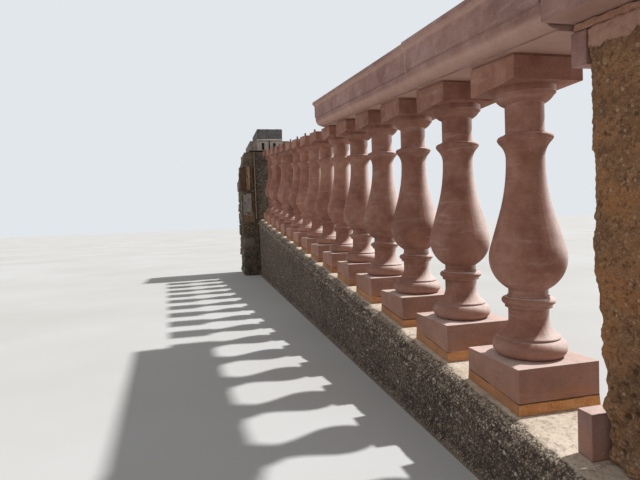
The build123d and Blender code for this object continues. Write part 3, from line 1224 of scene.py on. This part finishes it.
class Workshop:
    """Bench steps on one mesh at a time, made with operators."""

    finishes: dict[str, bpy.types.Material] = {}
    merge_distance = 0.00001
    lump_layers = 3
    weight_steps = 20

    @staticmethod
    def clear() -> None:
        """Deselects everything."""
        bpy.ops.object.select_all(action="DESELECT")

    @classmethod
    def take(cls, piece: Piece) -> None:
        """Makes a piece the only selected one.

        Args:
            piece: The piece to work on.
        """
        cls.clear()
        piece.select_set(True)
        bpy.context.view_layer.objects.active = piece

    @staticmethod
    def open_mesh() -> None:
        """Enters edit mode with all of the mesh selected."""
        bpy.ops.object.mode_set(mode="EDIT")
        bpy.ops.mesh.select_all(action="SELECT")

    @staticmethod
    def close_mesh() -> None:
        """Leaves edit mode."""
        bpy.ops.object.mode_set(mode="OBJECT")

    @classmethod
    def copy_node(cls, node: str, name: str) -> Piece:
        """Copies a CAD piece with its doubles merged.

        Args:
            node: The CAD piece.
            name: The copy's name.

        Returns:
            The copy, free of the frame.
        """
        piece = bpy.data.objects.new(name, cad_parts[node].data.copy())
        bpy.context.scene.collection.objects.link(piece)
        piece.data.name = name
        piece.data.materials.clear()
        cls.take(piece)
        cls.open_mesh()
        bpy.ops.mesh.remove_doubles(threshold=cls.merge_distance)
        bpy.ops.mesh.customdata_custom_splitnormals_clear()
        cls.close_mesh()
        return piece

    @classmethod
    def add_block(cls, size: Direction, middle: Direction) -> Piece:
        """Adds an upright block.

        Args:
            size: Its length, depth and height.
            middle: Its middle.

        Returns:
            The block, with its place in its mesh.
        """
        cls.clear()
        bpy.ops.mesh.primitive_cube_add(size=1.0, location=middle)
        block = bpy.context.active_object
        block.scale = size
        bpy.ops.object.transform_apply(location=True, rotation=False, scale=True)
        return block

    @classmethod
    def apply(cls, piece: Piece, kind: str, **settings: object) -> None:
        """Adds one modifier and applies it.

        Args:
            piece: The piece to change.
            kind: The modifier's type.
            settings: Properties of the modifier.
        """
        cls.take(piece)
        modifier = piece.modifiers.new(kind.title(), kind)
        for key, value in settings.items():
            setattr(modifier, key, value)
        bpy.ops.object.modifier_apply(modifier=modifier.name)

    @classmethod
    def remesh(cls, piece: Piece, voxel: float) -> None:
        """Gives a piece an even mesh with faces about one voxel wide."""
        cls.apply(piece, "REMESH", mode="VOXEL", voxel_size=voxel, use_smooth_shade=True)

    @classmethod
    def wear(cls, piece: Piece, layers: tuple[Wear, ...], group: str = "") -> None:
        """Bites into a surface, and outwards only as far as a layer stands proud.

        Args:
            piece: The piece to wear.
            layers: Layers from coarse to fine.
            group: Vertex group that weights the wear.
        """
        for number, layer in enumerate(layers):
            texture = bpy.data.textures.new(f"{piece.name}_wear_{number}", layer.kind.value)
            texture.noise_scale = layer.size
            if layer.kind is Rough.LUMPS:
                texture.noise_depth = cls.lump_layers
            cls.apply(
                piece,
                "DISPLACE",
                texture=texture,
                texture_coords="LOCAL",
                mid_level=1.0 - layer.proud,
                strength=layer.depth,
                vertex_group=group,
            )

    @staticmethod
    def put(piece: Piece, places: np.ndarray) -> None:
        """Moves a piece's vertices to new places, one row each."""
        piece.data.vertices.foreach_set("co", places.ravel())
        piece.data.update()

    @classmethod
    def keep_inside(cls, piece: Piece) -> None:
        """Brings what a remesh left outside the object's box back to the box."""
        places, _ = vertex_places(piece)
        cls.put(piece, np.clip(places, *cad_box))

    @classmethod
    def weigh(cls, piece: Piece, weights: np.ndarray) -> str:
        """Stores how strongly each vertex wears.

        Args:
            piece: The piece.
            weights: One weight per vertex.

        Returns:
            The name of the vertex group.
        """
        group = piece.vertex_groups.new(name="wear")
        rounded = np.round(np.clip(weights, 0.0, 1.0) * cls.weight_steps).astype(int)
        for step in range(1, cls.weight_steps + 1):
            chosen = np.nonzero(rounded == step)[0].tolist()
            if chosen:
                group.add(chosen, step / cls.weight_steps, "REPLACE")
        return group.name

    @classmethod
    def soften(cls, piece: Piece, angle: float) -> None:
        """Smooths the shading below an angle in degrees."""
        cls.take(piece)
        bpy.ops.object.shade_smooth_by_angle(angle=math.radians(angle))

    @classmethod
    def dress(cls, piece: Piece, finish: Finish) -> None:
        """Gives a piece its finish.

        Args:
            piece: A CAD piece or a new one.
            finish: The finish.
        """
        if finish.name not in cls.finishes:
            cls.finishes[finish.name] = finish.material()
        material = cls.finishes[finish.name]
        if not piece.material_slots:
            piece.data.materials.append(material)
        for place in piece.material_slots:
            place.material = material

    @classmethod
    def hand_over(cls, piece: Piece, finish: Finish, *nodes: str) -> None:
        """Dresses a new piece and joins it to the frame.

        Args:
            piece: The new piece.
            finish: Its finish.
            nodes: CAD pieces that it stands for.
        """
        cls.keep_inside(piece)
        cls.dress(piece, finish)
        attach(piece, BODY)
        if nodes:
            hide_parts(*nodes)
        log.info("%s: %d faces, %s", piece.name, len(piece.data.polygons), finish.name)

    @classmethod
    def keep(cls, finish: Finish, *nodes: str) -> None:
        """Dresses CAD pieces whose shape stays.

        Args:
            finish: Their finish.
            nodes: The CAD pieces.
        """
        for node in nodes:
            cls.dress(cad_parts[node], finish)
            log.info("%s: kept, %s", node, finish.name)


def vertex_places(piece: Piece) -> tuple[np.ndarray, np.ndarray]:
    """Reads a mesh.

    Args:
        piece: The piece to read.

    Returns:
        Its vertices and their normals, one row each.
    """
    count = len(piece.data.vertices)
    places = np.zeros(count * 3)
    normals = np.zeros(count * 3)
    piece.data.vertices.foreach_get("co", places)
    piece.data.vertices.foreach_get("normal", normals)
    return places.reshape(-1, 3), normals.reshape(-1, 3)


def smooth_step(values: np.ndarray, low: float, high: float) -> np.ndarray:
    """Rises smoothly from 0 at low to 1 at high."""
    share = np.clip((values - low) / (high - low), 0.0, 1.0)
    return share * share * (3 - 2 * share)


@dataclass(frozen=True)
class Pebbles:
    """Broken stones half sunk in a surface, modelled once and copied."""

    name: str
    count: int
    least: float
    most: float
    seed: int
    sunk: float
    bevelled: bool = True
    breakage: float = 0.35
    bevel: float = 0.22
    small_ones: float = 2.2
    length_span: Span = (0.6, 1.0)
    height_span: Span = (0.45, 0.8)

    def model(self) -> tuple[np.ndarray, list[tuple[int, ...]]]:
        """Models one stone of unit size.

        Returns:
            Its vertices and faces.
        """
        Workshop.clear()
        bpy.ops.mesh.primitive_ico_sphere_add(subdivisions=1, radius=1.0)
        stone = bpy.context.active_object
        Workshop.open_mesh()
        bpy.ops.transform.vertex_random(offset=self.breakage, seed=self.seed)
        if self.bevelled:
            bpy.ops.mesh.bevel(offset=self.bevel, segments=1, affect="EDGES")
        Workshop.close_mesh()
        corners, _ = vertex_places(stone)
        faces = [tuple(face.vertices) for face in stone.data.polygons]
        bpy.data.objects.remove(stone)
        return corners, faces

    def scatter(self, places: np.ndarray, normals: np.ndarray) -> Piece:
        """Sinks copies into a surface.

        Args:
            places: Points of the surface to choose from.
            normals: Their normals.

        Returns:
            All stones as one piece.
        """
        corners, faces = self.model()
        draw = random.Random(self.seed)
        chosen = draw.sample(range(len(places)), min(self.count, len(places)))
        all_corners = []
        all_faces = []
        for number, index in enumerate(chosen):
            size = self.least + (self.most - self.least) * draw.random() ** self.small_ones
            turn = Euler([draw.uniform(0, math.tau) for _ in range(3)]).to_matrix()
            spans = (self.length_span, self.length_span, self.height_span)
            shape = np.array([draw.uniform(*span) for span in spans])
            moved = (corners * shape * size / 2) @ np.array(turn).T
            all_corners.append(moved + places[index] - normals[index] * size * self.sunk)
            shift = number * len(corners)
            all_faces += [tuple(v + shift for v in face) for face in faces]
        mesh = bpy.data.meshes.new(self.name)
        mesh.from_pydata(np.concatenate(all_corners).tolist(), [], all_faces)
        piece = bpy.data.objects.new(self.name, mesh)
        bpy.context.scene.collection.objects.link(piece)
        return piece


@dataclass
class Kerb:
    """The rough kerb under the row, its ragged arrises and the beds on it."""

    voxel: float = 0.009
    bite: tuple[Wear, ...] = (
        Wear(Rough.LUMPS, 0.16, 0.016),
        Wear(Rough.LUMPS, 0.045, 0.012),
        Wear(Rough.CHIPS, 0.022, 0.007),
    )
    least_wear: float = 0.07
    arris_wear: float = 0.5
    face_depths: Span = (0.012, 0.06)
    floor_margin: float = 0.03
    ledge: float = 0.100
    ledge_waves: tuple[tuple[float, float, float], ...] = ((0.006, 23.0, 1.0), (0.004, 61.0, 2.0))
    slump: float = 0.008
    slump_reach: float = 0.09
    soft_angle: float = 60.0
    stone_middle: float = 0.28
    stone_reach: float = 2.45
    edge_margin: float = 0.006
    arris_depth: float = 0.075
    face_line: float = 0.132
    face_depth: float = 0.06
    least_level: float = 0.02
    arris_stones: Pebbles = Pebbles("kerb_arris_stones", 2400, 0.004, 0.016, 11, sunk=0.16, bevelled=False)
    arris_grit: Pebbles = Pebbles("kerb_arris_grit", 2200, 0.004, 0.009, 13, sunk=0.16, bevelled=False)
    face_stones: Pebbles = Pebbles("kerb_face_stones", 1500, 0.004, 0.018, 12, sunk=0.16, bevelled=False)

    def build(self) -> None:
        """Builds the kerb's broken surface and dresses the beds."""
        piece = Workshop.copy_node("kerb", "kerb_concrete_mass")
        Workshop.remesh(piece, self.voxel)
        places, _ = vertex_places(piece)
        across = np.abs(places[:, 1]) + self.wander(places)
        outwards = smooth_step(across, self.ledge, ROW.kerb_half_width)
        below_top = ROW.kerb_top(places[:, 0]) - places[:, 2]
        in_face = smooth_step(below_top, *self.face_depths)
        near_floor = smooth_step(places[:, 2], 0.0, self.floor_margin)
        weights = np.maximum(self.least_wear, np.maximum(self.arris_wear * outwards, in_face)) * near_floor
        places[:, 2] -= self.slump * outwards * (1 - smooth_step(below_top, 0.0, self.slump_reach))
        Workshop.put(piece, places)
        Workshop.wear(piece, self.bite, Workshop.weigh(piece, weights))
        Workshop.soften(piece, self.soft_angle)
        Workshop.hand_over(piece, KERB_CONCRETE, "kerb")
        self.add_stones(piece)
        Workshop.keep(BED_MORTAR, "base_beds")

    def wander(self, places: np.ndarray) -> np.ndarray:
        """Makes the ledge's edge waver along the row, on each side in its own way.

        Args:
            places: The kerb's vertices.

        Returns:
            How far each moves across the row.
        """
        along, sides = places[:, 0], np.sign(places[:, 1])
        waves = self.ledge_waves
        return sum(height * np.sin(along * turns + shift * sides) for height, turns, shift in waves)

    def add_stones(self, kerb: Piece) -> None:
        """Sinks loose aggregate into the ragged arrises and the faces.

        Args:
            kerb: The kerb's finished surface.
        """
        places, normals = vertex_places(kerb)
        across = np.abs(places[:, 1])
        below_top = ROW.kerb_top(places[:, 0]) - places[:, 2]
        inside = np.abs(places[:, 0] - self.stone_middle) < self.stone_reach
        inside &= across < ROW.kerb_half_width - self.edge_margin
        arris = inside & (across > self.ledge + self.edge_margin) & (below_top < self.arris_depth)
        face = inside & (across > self.face_line) & (below_top >= self.face_depth)
        face &= places[:, 2] > self.least_level
        layers = ((self.arris_stones, arris), (self.arris_grit, arris), (self.face_stones, face))
        for stones, where in layers:
            Workshop.hand_over(stones.scatter(places[where], normals[where]), KERB_PEBBLES)


@dataclass
class Balusters:
    """The turned balusters, their dowels, and the beds over the first of them."""

    count: int = 15
    dowel_neck: float = 0.72
    dowel_stretch: float = 0.014
    soft_angle: float = 40.0

    def build(self) -> None:
        """Dresses the balusters."""
        Workshop.keep(CAST_STONE, *[f"baluster_{number:02d}" for number in range(1, self.count + 1)])
        Workshop.keep(THIN_BED_MORTAR, "coping_beds")
        self.lengthen_dowels()

    def lengthen_dowels(self) -> None:
        """Draws the dowels up to the height at which they stand over the bare top blocks."""
        dowels = Workshop.copy_node("dowels", "steel_dowels")
        places, _ = vertex_places(dowels)
        above = places[:, 2] - ROW.kerb_top(places[:, 0])
        places[:, 2] += np.where(above > self.dowel_neck, self.dowel_stretch, 0.0)
        Workshop.put(dowels, places)
        Workshop.soften(dowels, self.soft_angle)
        Workshop.hand_over(dowels, DOWEL_STEEL, "dowels")


@dataclass
class Coping:
    """The moulded coping over the first balusters and its joint."""

    smear: float = 0.0036

    def build(self) -> None:
        """Dresses the coping and smears pointing over its joint."""
        Workshop.keep(COPING_STONE, "coping_lower", "coping_upper", "pier_coping")
        joint = Workshop.copy_node("coping_joint_mortar", "coping_joint_pointing")
        Workshop.apply(joint, "DISPLACE", mid_level=0.0, strength=self.smear)
        Workshop.hand_over(joint, JOINT_MORTAR)
        Workshop.keep(JOINT_MORTAR, "coping_joint_mortar")


@dataclass
class DownhillPier:
    """The stripped pier: pitted core, thin end blocks and packed mortar."""

    core_voxel: float = 0.0036
    core_angle: float = 70.0
    core_bite: tuple[Wear, ...] = (
        Wear(Rough.LUMPS, 0.090, 0.012, proud=0.72),
        Wear(Rough.LUMPS, 0.026, 0.008, proud=0.6),
        Wear(Rough.CHIPS, 0.011, 0.004, proud=0.2),
        Wear(Rough.PITS, 0.007, 0.002),
    )
    foot_bite: tuple[Wear, ...] = (Wear(Rough.CHIPS, 0.030, 0.014, proud=0.2),)
    foot_levels: Span = (0.25, 0.5)
    bed_voxel: float = 0.0035
    bed_angle: float = 60.0
    bed_bite: tuple[Wear, ...] = (Wear(Rough.LUMPS, 0.035, 0.004), Wear(Rough.LUMPS, 0.010, 0.002))
    stones: Pebbles = Pebbles("pier_core_stones", 420, 0.003, 0.009, 21, sunk=0.30)
    uphill_margin: float = 0.012
    downhill_margin: float = 0.022
    level_margin: float = 0.04

    def build(self) -> None:
        """Builds the core's and the bed's broken surfaces and dresses the end blocks."""
        self.build_core()
        self.build_bed()
        Workshop.keep(COPING_STONE, "pier_lower_end_block", "pier_upper_end_block")

    def build_core(self) -> None:
        """Breaks the core's faces, deepest at its foot, and sinks small stones into them."""
        core = Workshop.copy_node("pier_core", "pier_core_rubble")
        Workshop.remesh(core, self.core_voxel)
        places, _ = vertex_places(core)
        foot = Workshop.weigh(core, 1 - smooth_step(places[:, 2], *self.foot_levels))
        Workshop.wear(core, self.foot_bite, foot)
        Workshop.wear(core, self.core_bite)
        Workshop.soften(core, self.core_angle)
        Workshop.hand_over(core, CORE_RUBBLE, "pier_core")
        places, normals = vertex_places(core)
        low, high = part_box("pier_core")
        along, level = places[:, 0], places[:, 2]
        inside = (along > low.x + self.uphill_margin) & (along < high.x - self.downhill_margin)
        inside &= (level > low.z + self.level_margin) & (level < high.z - self.level_margin)
        Workshop.hand_over(self.stones.scatter(places[inside], normals[inside]), CORE_RUBBLE)

    def build_bed(self) -> None:
        """Roughens the mortar packed between the core and the coping."""
        bed = Workshop.copy_node("pier_bed", "pier_bed_packing")
        Workshop.remesh(bed, self.bed_voxel)
        Workshop.wear(bed, self.bed_bite)
        Workshop.soften(bed, self.bed_angle)
        Workshop.hand_over(bed, PACKED_MORTAR, "pier_bed")


@dataclass(frozen=True)
class TallStone:
    """A stone on end beside the render: its finish, its two ends along Y, its foot and its head."""

    name: str
    finish: OldStone
    left: float
    right: float
    foot: float
    head: float


@dataclass
class UphillPier:
    """The rubble pier: coursed stones round a mortar core, a band course and a cap."""

    seed: int = 7
    joint: float = 0.010
    depth: float = 0.10
    setback: float = 0.014
    least_course: float = 0.06
    most_course: float = 0.15
    least_stone: float = 0.10
    most_stone: float = 0.27
    floor_gap: float = 0.014
    unevenness: float = 0.011
    stone_bevels: Span = (0.008, 0.02)
    bevel_segments: int = 2
    stone_cuts: int = 3
    stone_seeds: tuple[int, int] = (1, 9999)
    width_level: float = 0.75
    tall_span: Span = (0.655, 1.205)
    tall_stones: tuple[TallStone, ...] = (
        TallStone("shaft_brown_stone", TALL_BROWN, -0.332, -0.262, 0.925, 1.195),
        TallStone("shaft_orange_stone", TALL_ORANGE, -0.258, -0.208, 0.930, 1.205),
        TallStone("shaft_narrow_stone", TALL_BROWN, -0.204, -0.172, 0.930, 1.200),
        TallStone("shaft_grey_slab", GREY_SLAB, -0.304, -0.206, 0.655, 0.912),
        TallStone("shaft_small_stone", TALL_BROWN, -0.202, -0.172, 0.655, 0.905),
    )
    stone_bite: tuple[Wear, ...] = (Wear(Rough.LUMPS, 0.05, 0.012), Wear(Rough.CHIPS, 0.03, 0.006))
    stone_angle: float = 50.0
    soft_angle: float = 60.0
    core_share: float = 0.93
    core_voxel: float = 0.011
    core_bite: tuple[Wear, ...] = (Wear(Rough.LUMPS, 0.05, 0.012),)
    floor_margin: float = 0.03
    band_voxel: float = 0.0045
    band_bite: tuple[Wear, ...] = (
        Wear(Rough.LUMPS, 0.09, 0.004),
        Wear(Rough.LUMPS, 0.022, 0.004),
        Wear(Rough.CHIPS, 0.014, 0.002),
    )
    render_voxel: float = 0.004
    render_thickness: float = 0.05
    render_recess: float = 0.012
    render_foot_gap: float = 0.002
    render_head_gap: float = 0.004
    arris_width: float = 0.012
    arris_recess: float = 0.004
    render_bite: tuple[Wear, ...] = (Wear(Rough.LUMPS, 0.07, 0.010), Wear(Rough.LUMPS, 0.018, 0.005))

    def build(self) -> None:
        """Builds the pier's stones, core, band and cap."""
        self.build_core()
        self.build_stones()
        for node, name, finish in (
            ("far_pier_band_street", "band_stone_street", BAND_STONE),
            ("far_pier_band_back", "band_stone_back", BAND_STONE),
            ("far_pier_cap", "cap_block", CAP_STONE),
        ):
            piece = Workshop.copy_node(node, name)
            Workshop.remesh(piece, self.band_voxel)
            Workshop.wear(piece, self.band_bite)
            Workshop.soften(piece, self.soft_angle)
            Workshop.hand_over(piece, finish, node)
        Workshop.keep(CAP_MORTAR, "far_pier_cap_bed")

    def build_core(self) -> None:
        """Builds the mortar that shows between the stones."""
        low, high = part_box("far_pier_shaft")
        core = Workshop.copy_node("far_pier_shaft", "shaft_mortar_core")
        Workshop.take(core)
        Workshop.open_mesh()
        shrink = (self.core_share, self.core_share, 1.0)
        bpy.ops.transform.resize(value=shrink, center_override=(low + high) / 2)
        Workshop.close_mesh()
        Workshop.remesh(core, self.core_voxel)
        places, _ = vertex_places(core)
        group = Workshop.weigh(core, smooth_step(places[:, 2], 0.0, self.floor_margin))
        Workshop.wear(core, self.core_bite, group)
        Workshop.soften(core, self.soft_angle)
        Workshop.hand_over(core, SHAFT_MORTAR, "far_pier_shaft")

    def build_stones(self) -> None:
        """Lays irregular stones in courses on all four sides, then the tall stones and the render."""
        draw = random.Random(self.seed)
        stones: list[Piece] = []
        level = 0.0
        over = False
        top = FAR_PIER.band_level
        while level < top - self.least_course / 2:
            height = min(draw.uniform(self.least_course, self.most_course), top - level)
            if top - level - height < self.least_course:
                height = top - level
            stones += self.lay_course(level, height, over, draw)
            level += height
            over = not over
        self.join(stones, "shaft_rubble_stones", SHAFT_RUBBLE)
        self.build_tall_stones(draw)
        self.build_render()

    def lay_course(self, level: float, height: float, over: bool, draw: random.Random) -> list[Piece]:
        """Lays one course round the shaft.

        Args:
            level: Its foot.
            height: Its height.
            over: Whether its end stones lap over the side stones.
            draw: Source of chance.

        Returns:
            Its stones.
        """
        half_width = FAR_PIER.half_width(level + height * self.width_level) - self.setback
        back = FAR_PIER.uphill_face(level + height) + self.setback
        front = FAR_PIER.face - self.setback
        ends = half_width if over else half_width - self.depth
        stones = []
        for start, stop in self.split(-ends, ends, draw):
            middle = (back + self.depth / 2, (start + stop) / 2)
            stones.append(self.lay(middle, (self.depth, stop - start - self.joint), level, height, draw))
        for start, stop in self.beside_render(ends, level, height):
            middle = (front - self.depth / 2, (start + stop) / 2)
            stones.append(self.lay(middle, (self.depth, stop - start - self.joint), level, height, draw))
        reach = self.depth if over else 0.0
        for y, sign in ((-half_width, 1), (half_width, -1)):
            for start, stop in self.split(back + reach, front - reach, draw):
                middle = ((start + stop) / 2, y + sign * self.depth / 2)
                size = (stop - start - self.joint, self.depth)
                stones.append(self.lay(middle, size, level, height, draw))
        return stones

    def beside_render(self, ends: float, level: float, height: float) -> list[Span]:
        """Ends of the stones on each side of the rendered middle of the downhill face.

        Args:
            ends: Half width of the course.
            level: The foot of the course.
            height: Its height.

        Returns:
            The two ends of each stone along Y.
        """
        inner = FAR_PIER.render_half_width
        if ends - inner < self.least_stone / 2:
            return []
        low, high = self.tall_span
        street = [] if low < level + height / 2 < high else [(-ends, -inner)]
        return [*street, (inner, ends)]

    def build_tall_stones(self, draw: random.Random) -> None:
        """Sets the tall stones on end, on the street half of the downhill face.

        Args:
            draw: Source of chance.
        """
        middle_x = FAR_PIER.face - self.setback - self.depth / 2
        for tall in self.tall_stones:
            middle = (middle_x, (tall.left + tall.right) / 2)
            size = (self.depth, tall.right - tall.left)
            stone = self.lay(middle, size, tall.foot, tall.head - tall.foot, draw)
            self.join([stone], tall.name, tall.finish)

    def build_render(self) -> None:
        """Lays cracked render over the middle of the downhill face, with an arris at each side."""
        half = FAR_PIER.render_half_width
        inner = half - self.arris_width
        foot = ROW.kerb_top(FAR_PIER.face) + self.render_foot_gap
        head = FAR_PIER.band_level - self.render_head_gap
        for name, finish, left, right, recess in (
            ("shaft_render_face", SHAFT_RENDER, -inner, inner, self.render_recess),
            ("shaft_render_arris_street", RENDER_ARRIS, -half, -inner, self.arris_recess),
            ("shaft_render_arris_back", RENDER_ARRIS, inner, half, self.arris_recess),
        ):
            middle_x = FAR_PIER.face - recess - self.render_thickness / 2
            size = (self.render_thickness, right - left, head - foot)
            piece = Workshop.add_block(size, (middle_x, (left + right) / 2, (foot + head) / 2))
            piece.name = name
            Workshop.remesh(piece, self.render_voxel)
            Workshop.wear(piece, self.render_bite)
            Workshop.soften(piece, self.soft_angle)
            Workshop.hand_over(piece, finish)

    def join(self, stones: list[Piece], name: str, finish: Finish) -> None:
        """Joins stones to one worn piece and hands it over.

        Args:
            stones: The stones.
            name: The piece's name.
            finish: Its finish.
        """
        Workshop.clear()
        for stone in stones:
            stone.select_set(True)
        bpy.context.view_layer.objects.active = stones[0]
        if len(stones) > 1:
            bpy.ops.object.join()
        piece = bpy.context.active_object
        piece.name = name
        Workshop.wear(piece, self.stone_bite)
        Workshop.soften(piece, self.stone_angle)
        Workshop.hand_over(piece, finish)

    def split(self, start: float, stop: float, draw: random.Random) -> list[Span]:
        """Divides a course into stones of uneven length.

        Args:
            start: Where the course starts.
            stop: Where it ends.
            draw: Source of chance.

        Returns:
            The two ends of each stone.
        """
        parts = []
        while stop - start > self.most_stone:
            end = start + draw.uniform(self.least_stone, self.most_stone)
            parts.append((start, end))
            start = end
        if stop - start > self.least_stone / 2 or not parts:
            parts.append((start, stop))
        else:
            parts[-1] = (parts[-1][0], stop)
        return parts

    def lay(self, middle: Span, size: Span, level: float, height: float, draw: random.Random) -> Piece:
        """Models one stone in its place.

        Args:
            middle: Its middle in plan.
            size: Its size in plan.
            level: The foot of its course.
            height: The height of its course.
            draw: Source of chance.

        Returns:
            The stone.
        """
        gap = self.joint if level > 0 else self.joint / 2
        foot = level + (gap / 2 if level > 0 else self.floor_gap)
        stone = Workshop.add_block((*size, height - gap), (*middle, foot + (height - gap) / 2))
        Workshop.open_mesh()
        bpy.ops.transform.vertex_random(offset=self.unevenness, seed=draw.randrange(*self.stone_seeds))
        bevel = draw.uniform(*self.stone_bevels)
        bpy.ops.mesh.bevel(offset=bevel, segments=self.bevel_segments, affect="EDGES")
        bpy.ops.mesh.select_all(action="SELECT")
        bpy.ops.mesh.subdivide(number_cuts=self.stone_cuts)
        Workshop.close_mesh()
        return stone


@dataclass(frozen=True)
class Lamp:
    """A far lamp: the way to it, its strength, and how wide it is in degrees."""

    name: str
    towards: Direction
    strength: float
    width: float


@dataclass
class Studio:
    """Pale floor, soft lamps and the camera at the photograph's angle."""

    eye: Direction = (3.1535, -0.6997, 0.570)
    forward: Direction = (-0.9736, 0.2250, -0.0387)
    roll: float = 0.0377
    lens: float = 27.39
    sensor: float = 36.0
    nearest: float = 0.02
    backdrop: Colour = (226, 231, 236)
    sky: Colour = (250, 252, 255)
    ambient: float = 0.36
    lamps: tuple[Lamp, ...] = (
        Lamp("key", (-0.08, 0.61, 0.79), 4.1, 2.0),
        Lamp("fill", (0.30, -0.85, 0.42), 0.36, 60.0),
    )
    floor_size: float = 120.0
    floor_colour: Colour = (186, 183, 178)
    floor_clouds: Noise = Noise(0.7, 3.0)
    floor_pale: Reach = Reach(0.2, 0.8, 0.0, 0.25)
    floor_relief: float = 0.0001
    floor_dullness: float = 0.9

    def build(self) -> None:
        """Builds floor, light and camera."""
        self.lay_floor()
        self.light()
        self.build_sky()
        self.place_camera()

    def lay_floor(self) -> None:
        """Lays a wide plain floor."""
        Workshop.clear()
        bpy.ops.mesh.primitive_plane_add(size=self.floor_size, location=(0.0, 0.0, 0.0))
        floor = bpy.context.active_object
        floor.name = "studio_floor"
        p = Pattern("studio_floor")
        clouds = p.noise(self.floor_clouds)
        colour = p.blend(p.span(clouds, self.floor_pale), self.floor_colour, self.backdrop)
        p.done(colour, self.floor_dullness, p.bump(p.relief((clouds, self.floor_relief))))
        floor.data.materials.append(p.material)

    def light(self) -> None:
        """Sets a soft key from behind and a soft fill from the street."""
        for lamp in self.lamps:
            sun = bpy.data.lights.new(lamp.name, "SUN")
            sun.energy = lamp.strength
            sun.angle = math.radians(lamp.width)
            holder = bpy.data.objects.new(lamp.name, sun)
            holder.rotation_euler = Vector(lamp.towards).to_track_quat("Z", "Y").to_euler()
            bpy.context.scene.collection.objects.link(holder)

    def build_sky(self) -> None:
        """Lights the scene from an even sky and shows a pale backdrop in its place."""
        world = bpy.data.worlds.new("studio")
        bpy.context.scene.world = world
        world.use_nodes = True
        nodes, links = world.node_tree.nodes, world.node_tree.links
        nodes.clear()
        sky = nodes.new("ShaderNodeBackground")
        sky.inputs["Color"].default_value = linear(self.sky)
        sky.inputs["Strength"].default_value = self.ambient
        seen = nodes.new("ShaderNodeBackground")
        seen.inputs["Color"].default_value = linear(self.backdrop)
        path = nodes.new("ShaderNodeLightPath")
        direct = nodes.new("ShaderNodeMath")
        direct.operation = Calc.LARGER.value
        links.new(path.outputs["Is Camera Ray"], direct.inputs[0])
        links.new(path.outputs["Is Glossy Ray"], direct.inputs[1])
        mix = nodes.new("ShaderNodeMixShader")
        links.new(direct.outputs["Value"], mix.inputs["Fac"])
        links.new(sky.outputs["Background"], mix.inputs[1])
        links.new(seen.outputs["Background"], mix.inputs[2])
        output = nodes.new("ShaderNodeOutputWorld")
        links.new(mix.outputs["Shader"], output.inputs["Surface"])

    def place_camera(self) -> None:
        """Sets the camera where the photograph was taken."""
        forward = Vector(self.forward).normalized()
        level_right = forward.cross(Vector((0.0, 0.0, 1.0))).normalized()
        level_up = level_right.cross(forward)
        right = level_right * math.cos(self.roll) - level_up * math.sin(self.roll)
        up = level_up * math.cos(self.roll) + level_right * math.sin(self.roll)
        turn = Matrix((right, up, -forward)).transposed().to_4x4()
        lens = bpy.data.cameras.new("street_view")
        lens.lens = self.lens
        lens.sensor_width = self.sensor
        lens.clip_start = self.nearest
        camera = bpy.data.objects.new("street_view", lens)
        camera.matrix_world = Matrix.Translation(self.eye) @ turn
        bpy.context.scene.collection.objects.link(camera)
        bpy.context.scene.camera = camera


def main() -> None:
    """Builds every sub-assembly in order."""
    logging.basicConfig(level=logging.INFO, format="%(message)s")
    bpy.context.scene.view_settings.view_transform = "Standard"
    Kerb().build()
    Balusters().build()
    Coping().build()
    DownhillPier().build()
    UphillPier().build()
    Studio().build()


if __name__ == "__main__":
    main()
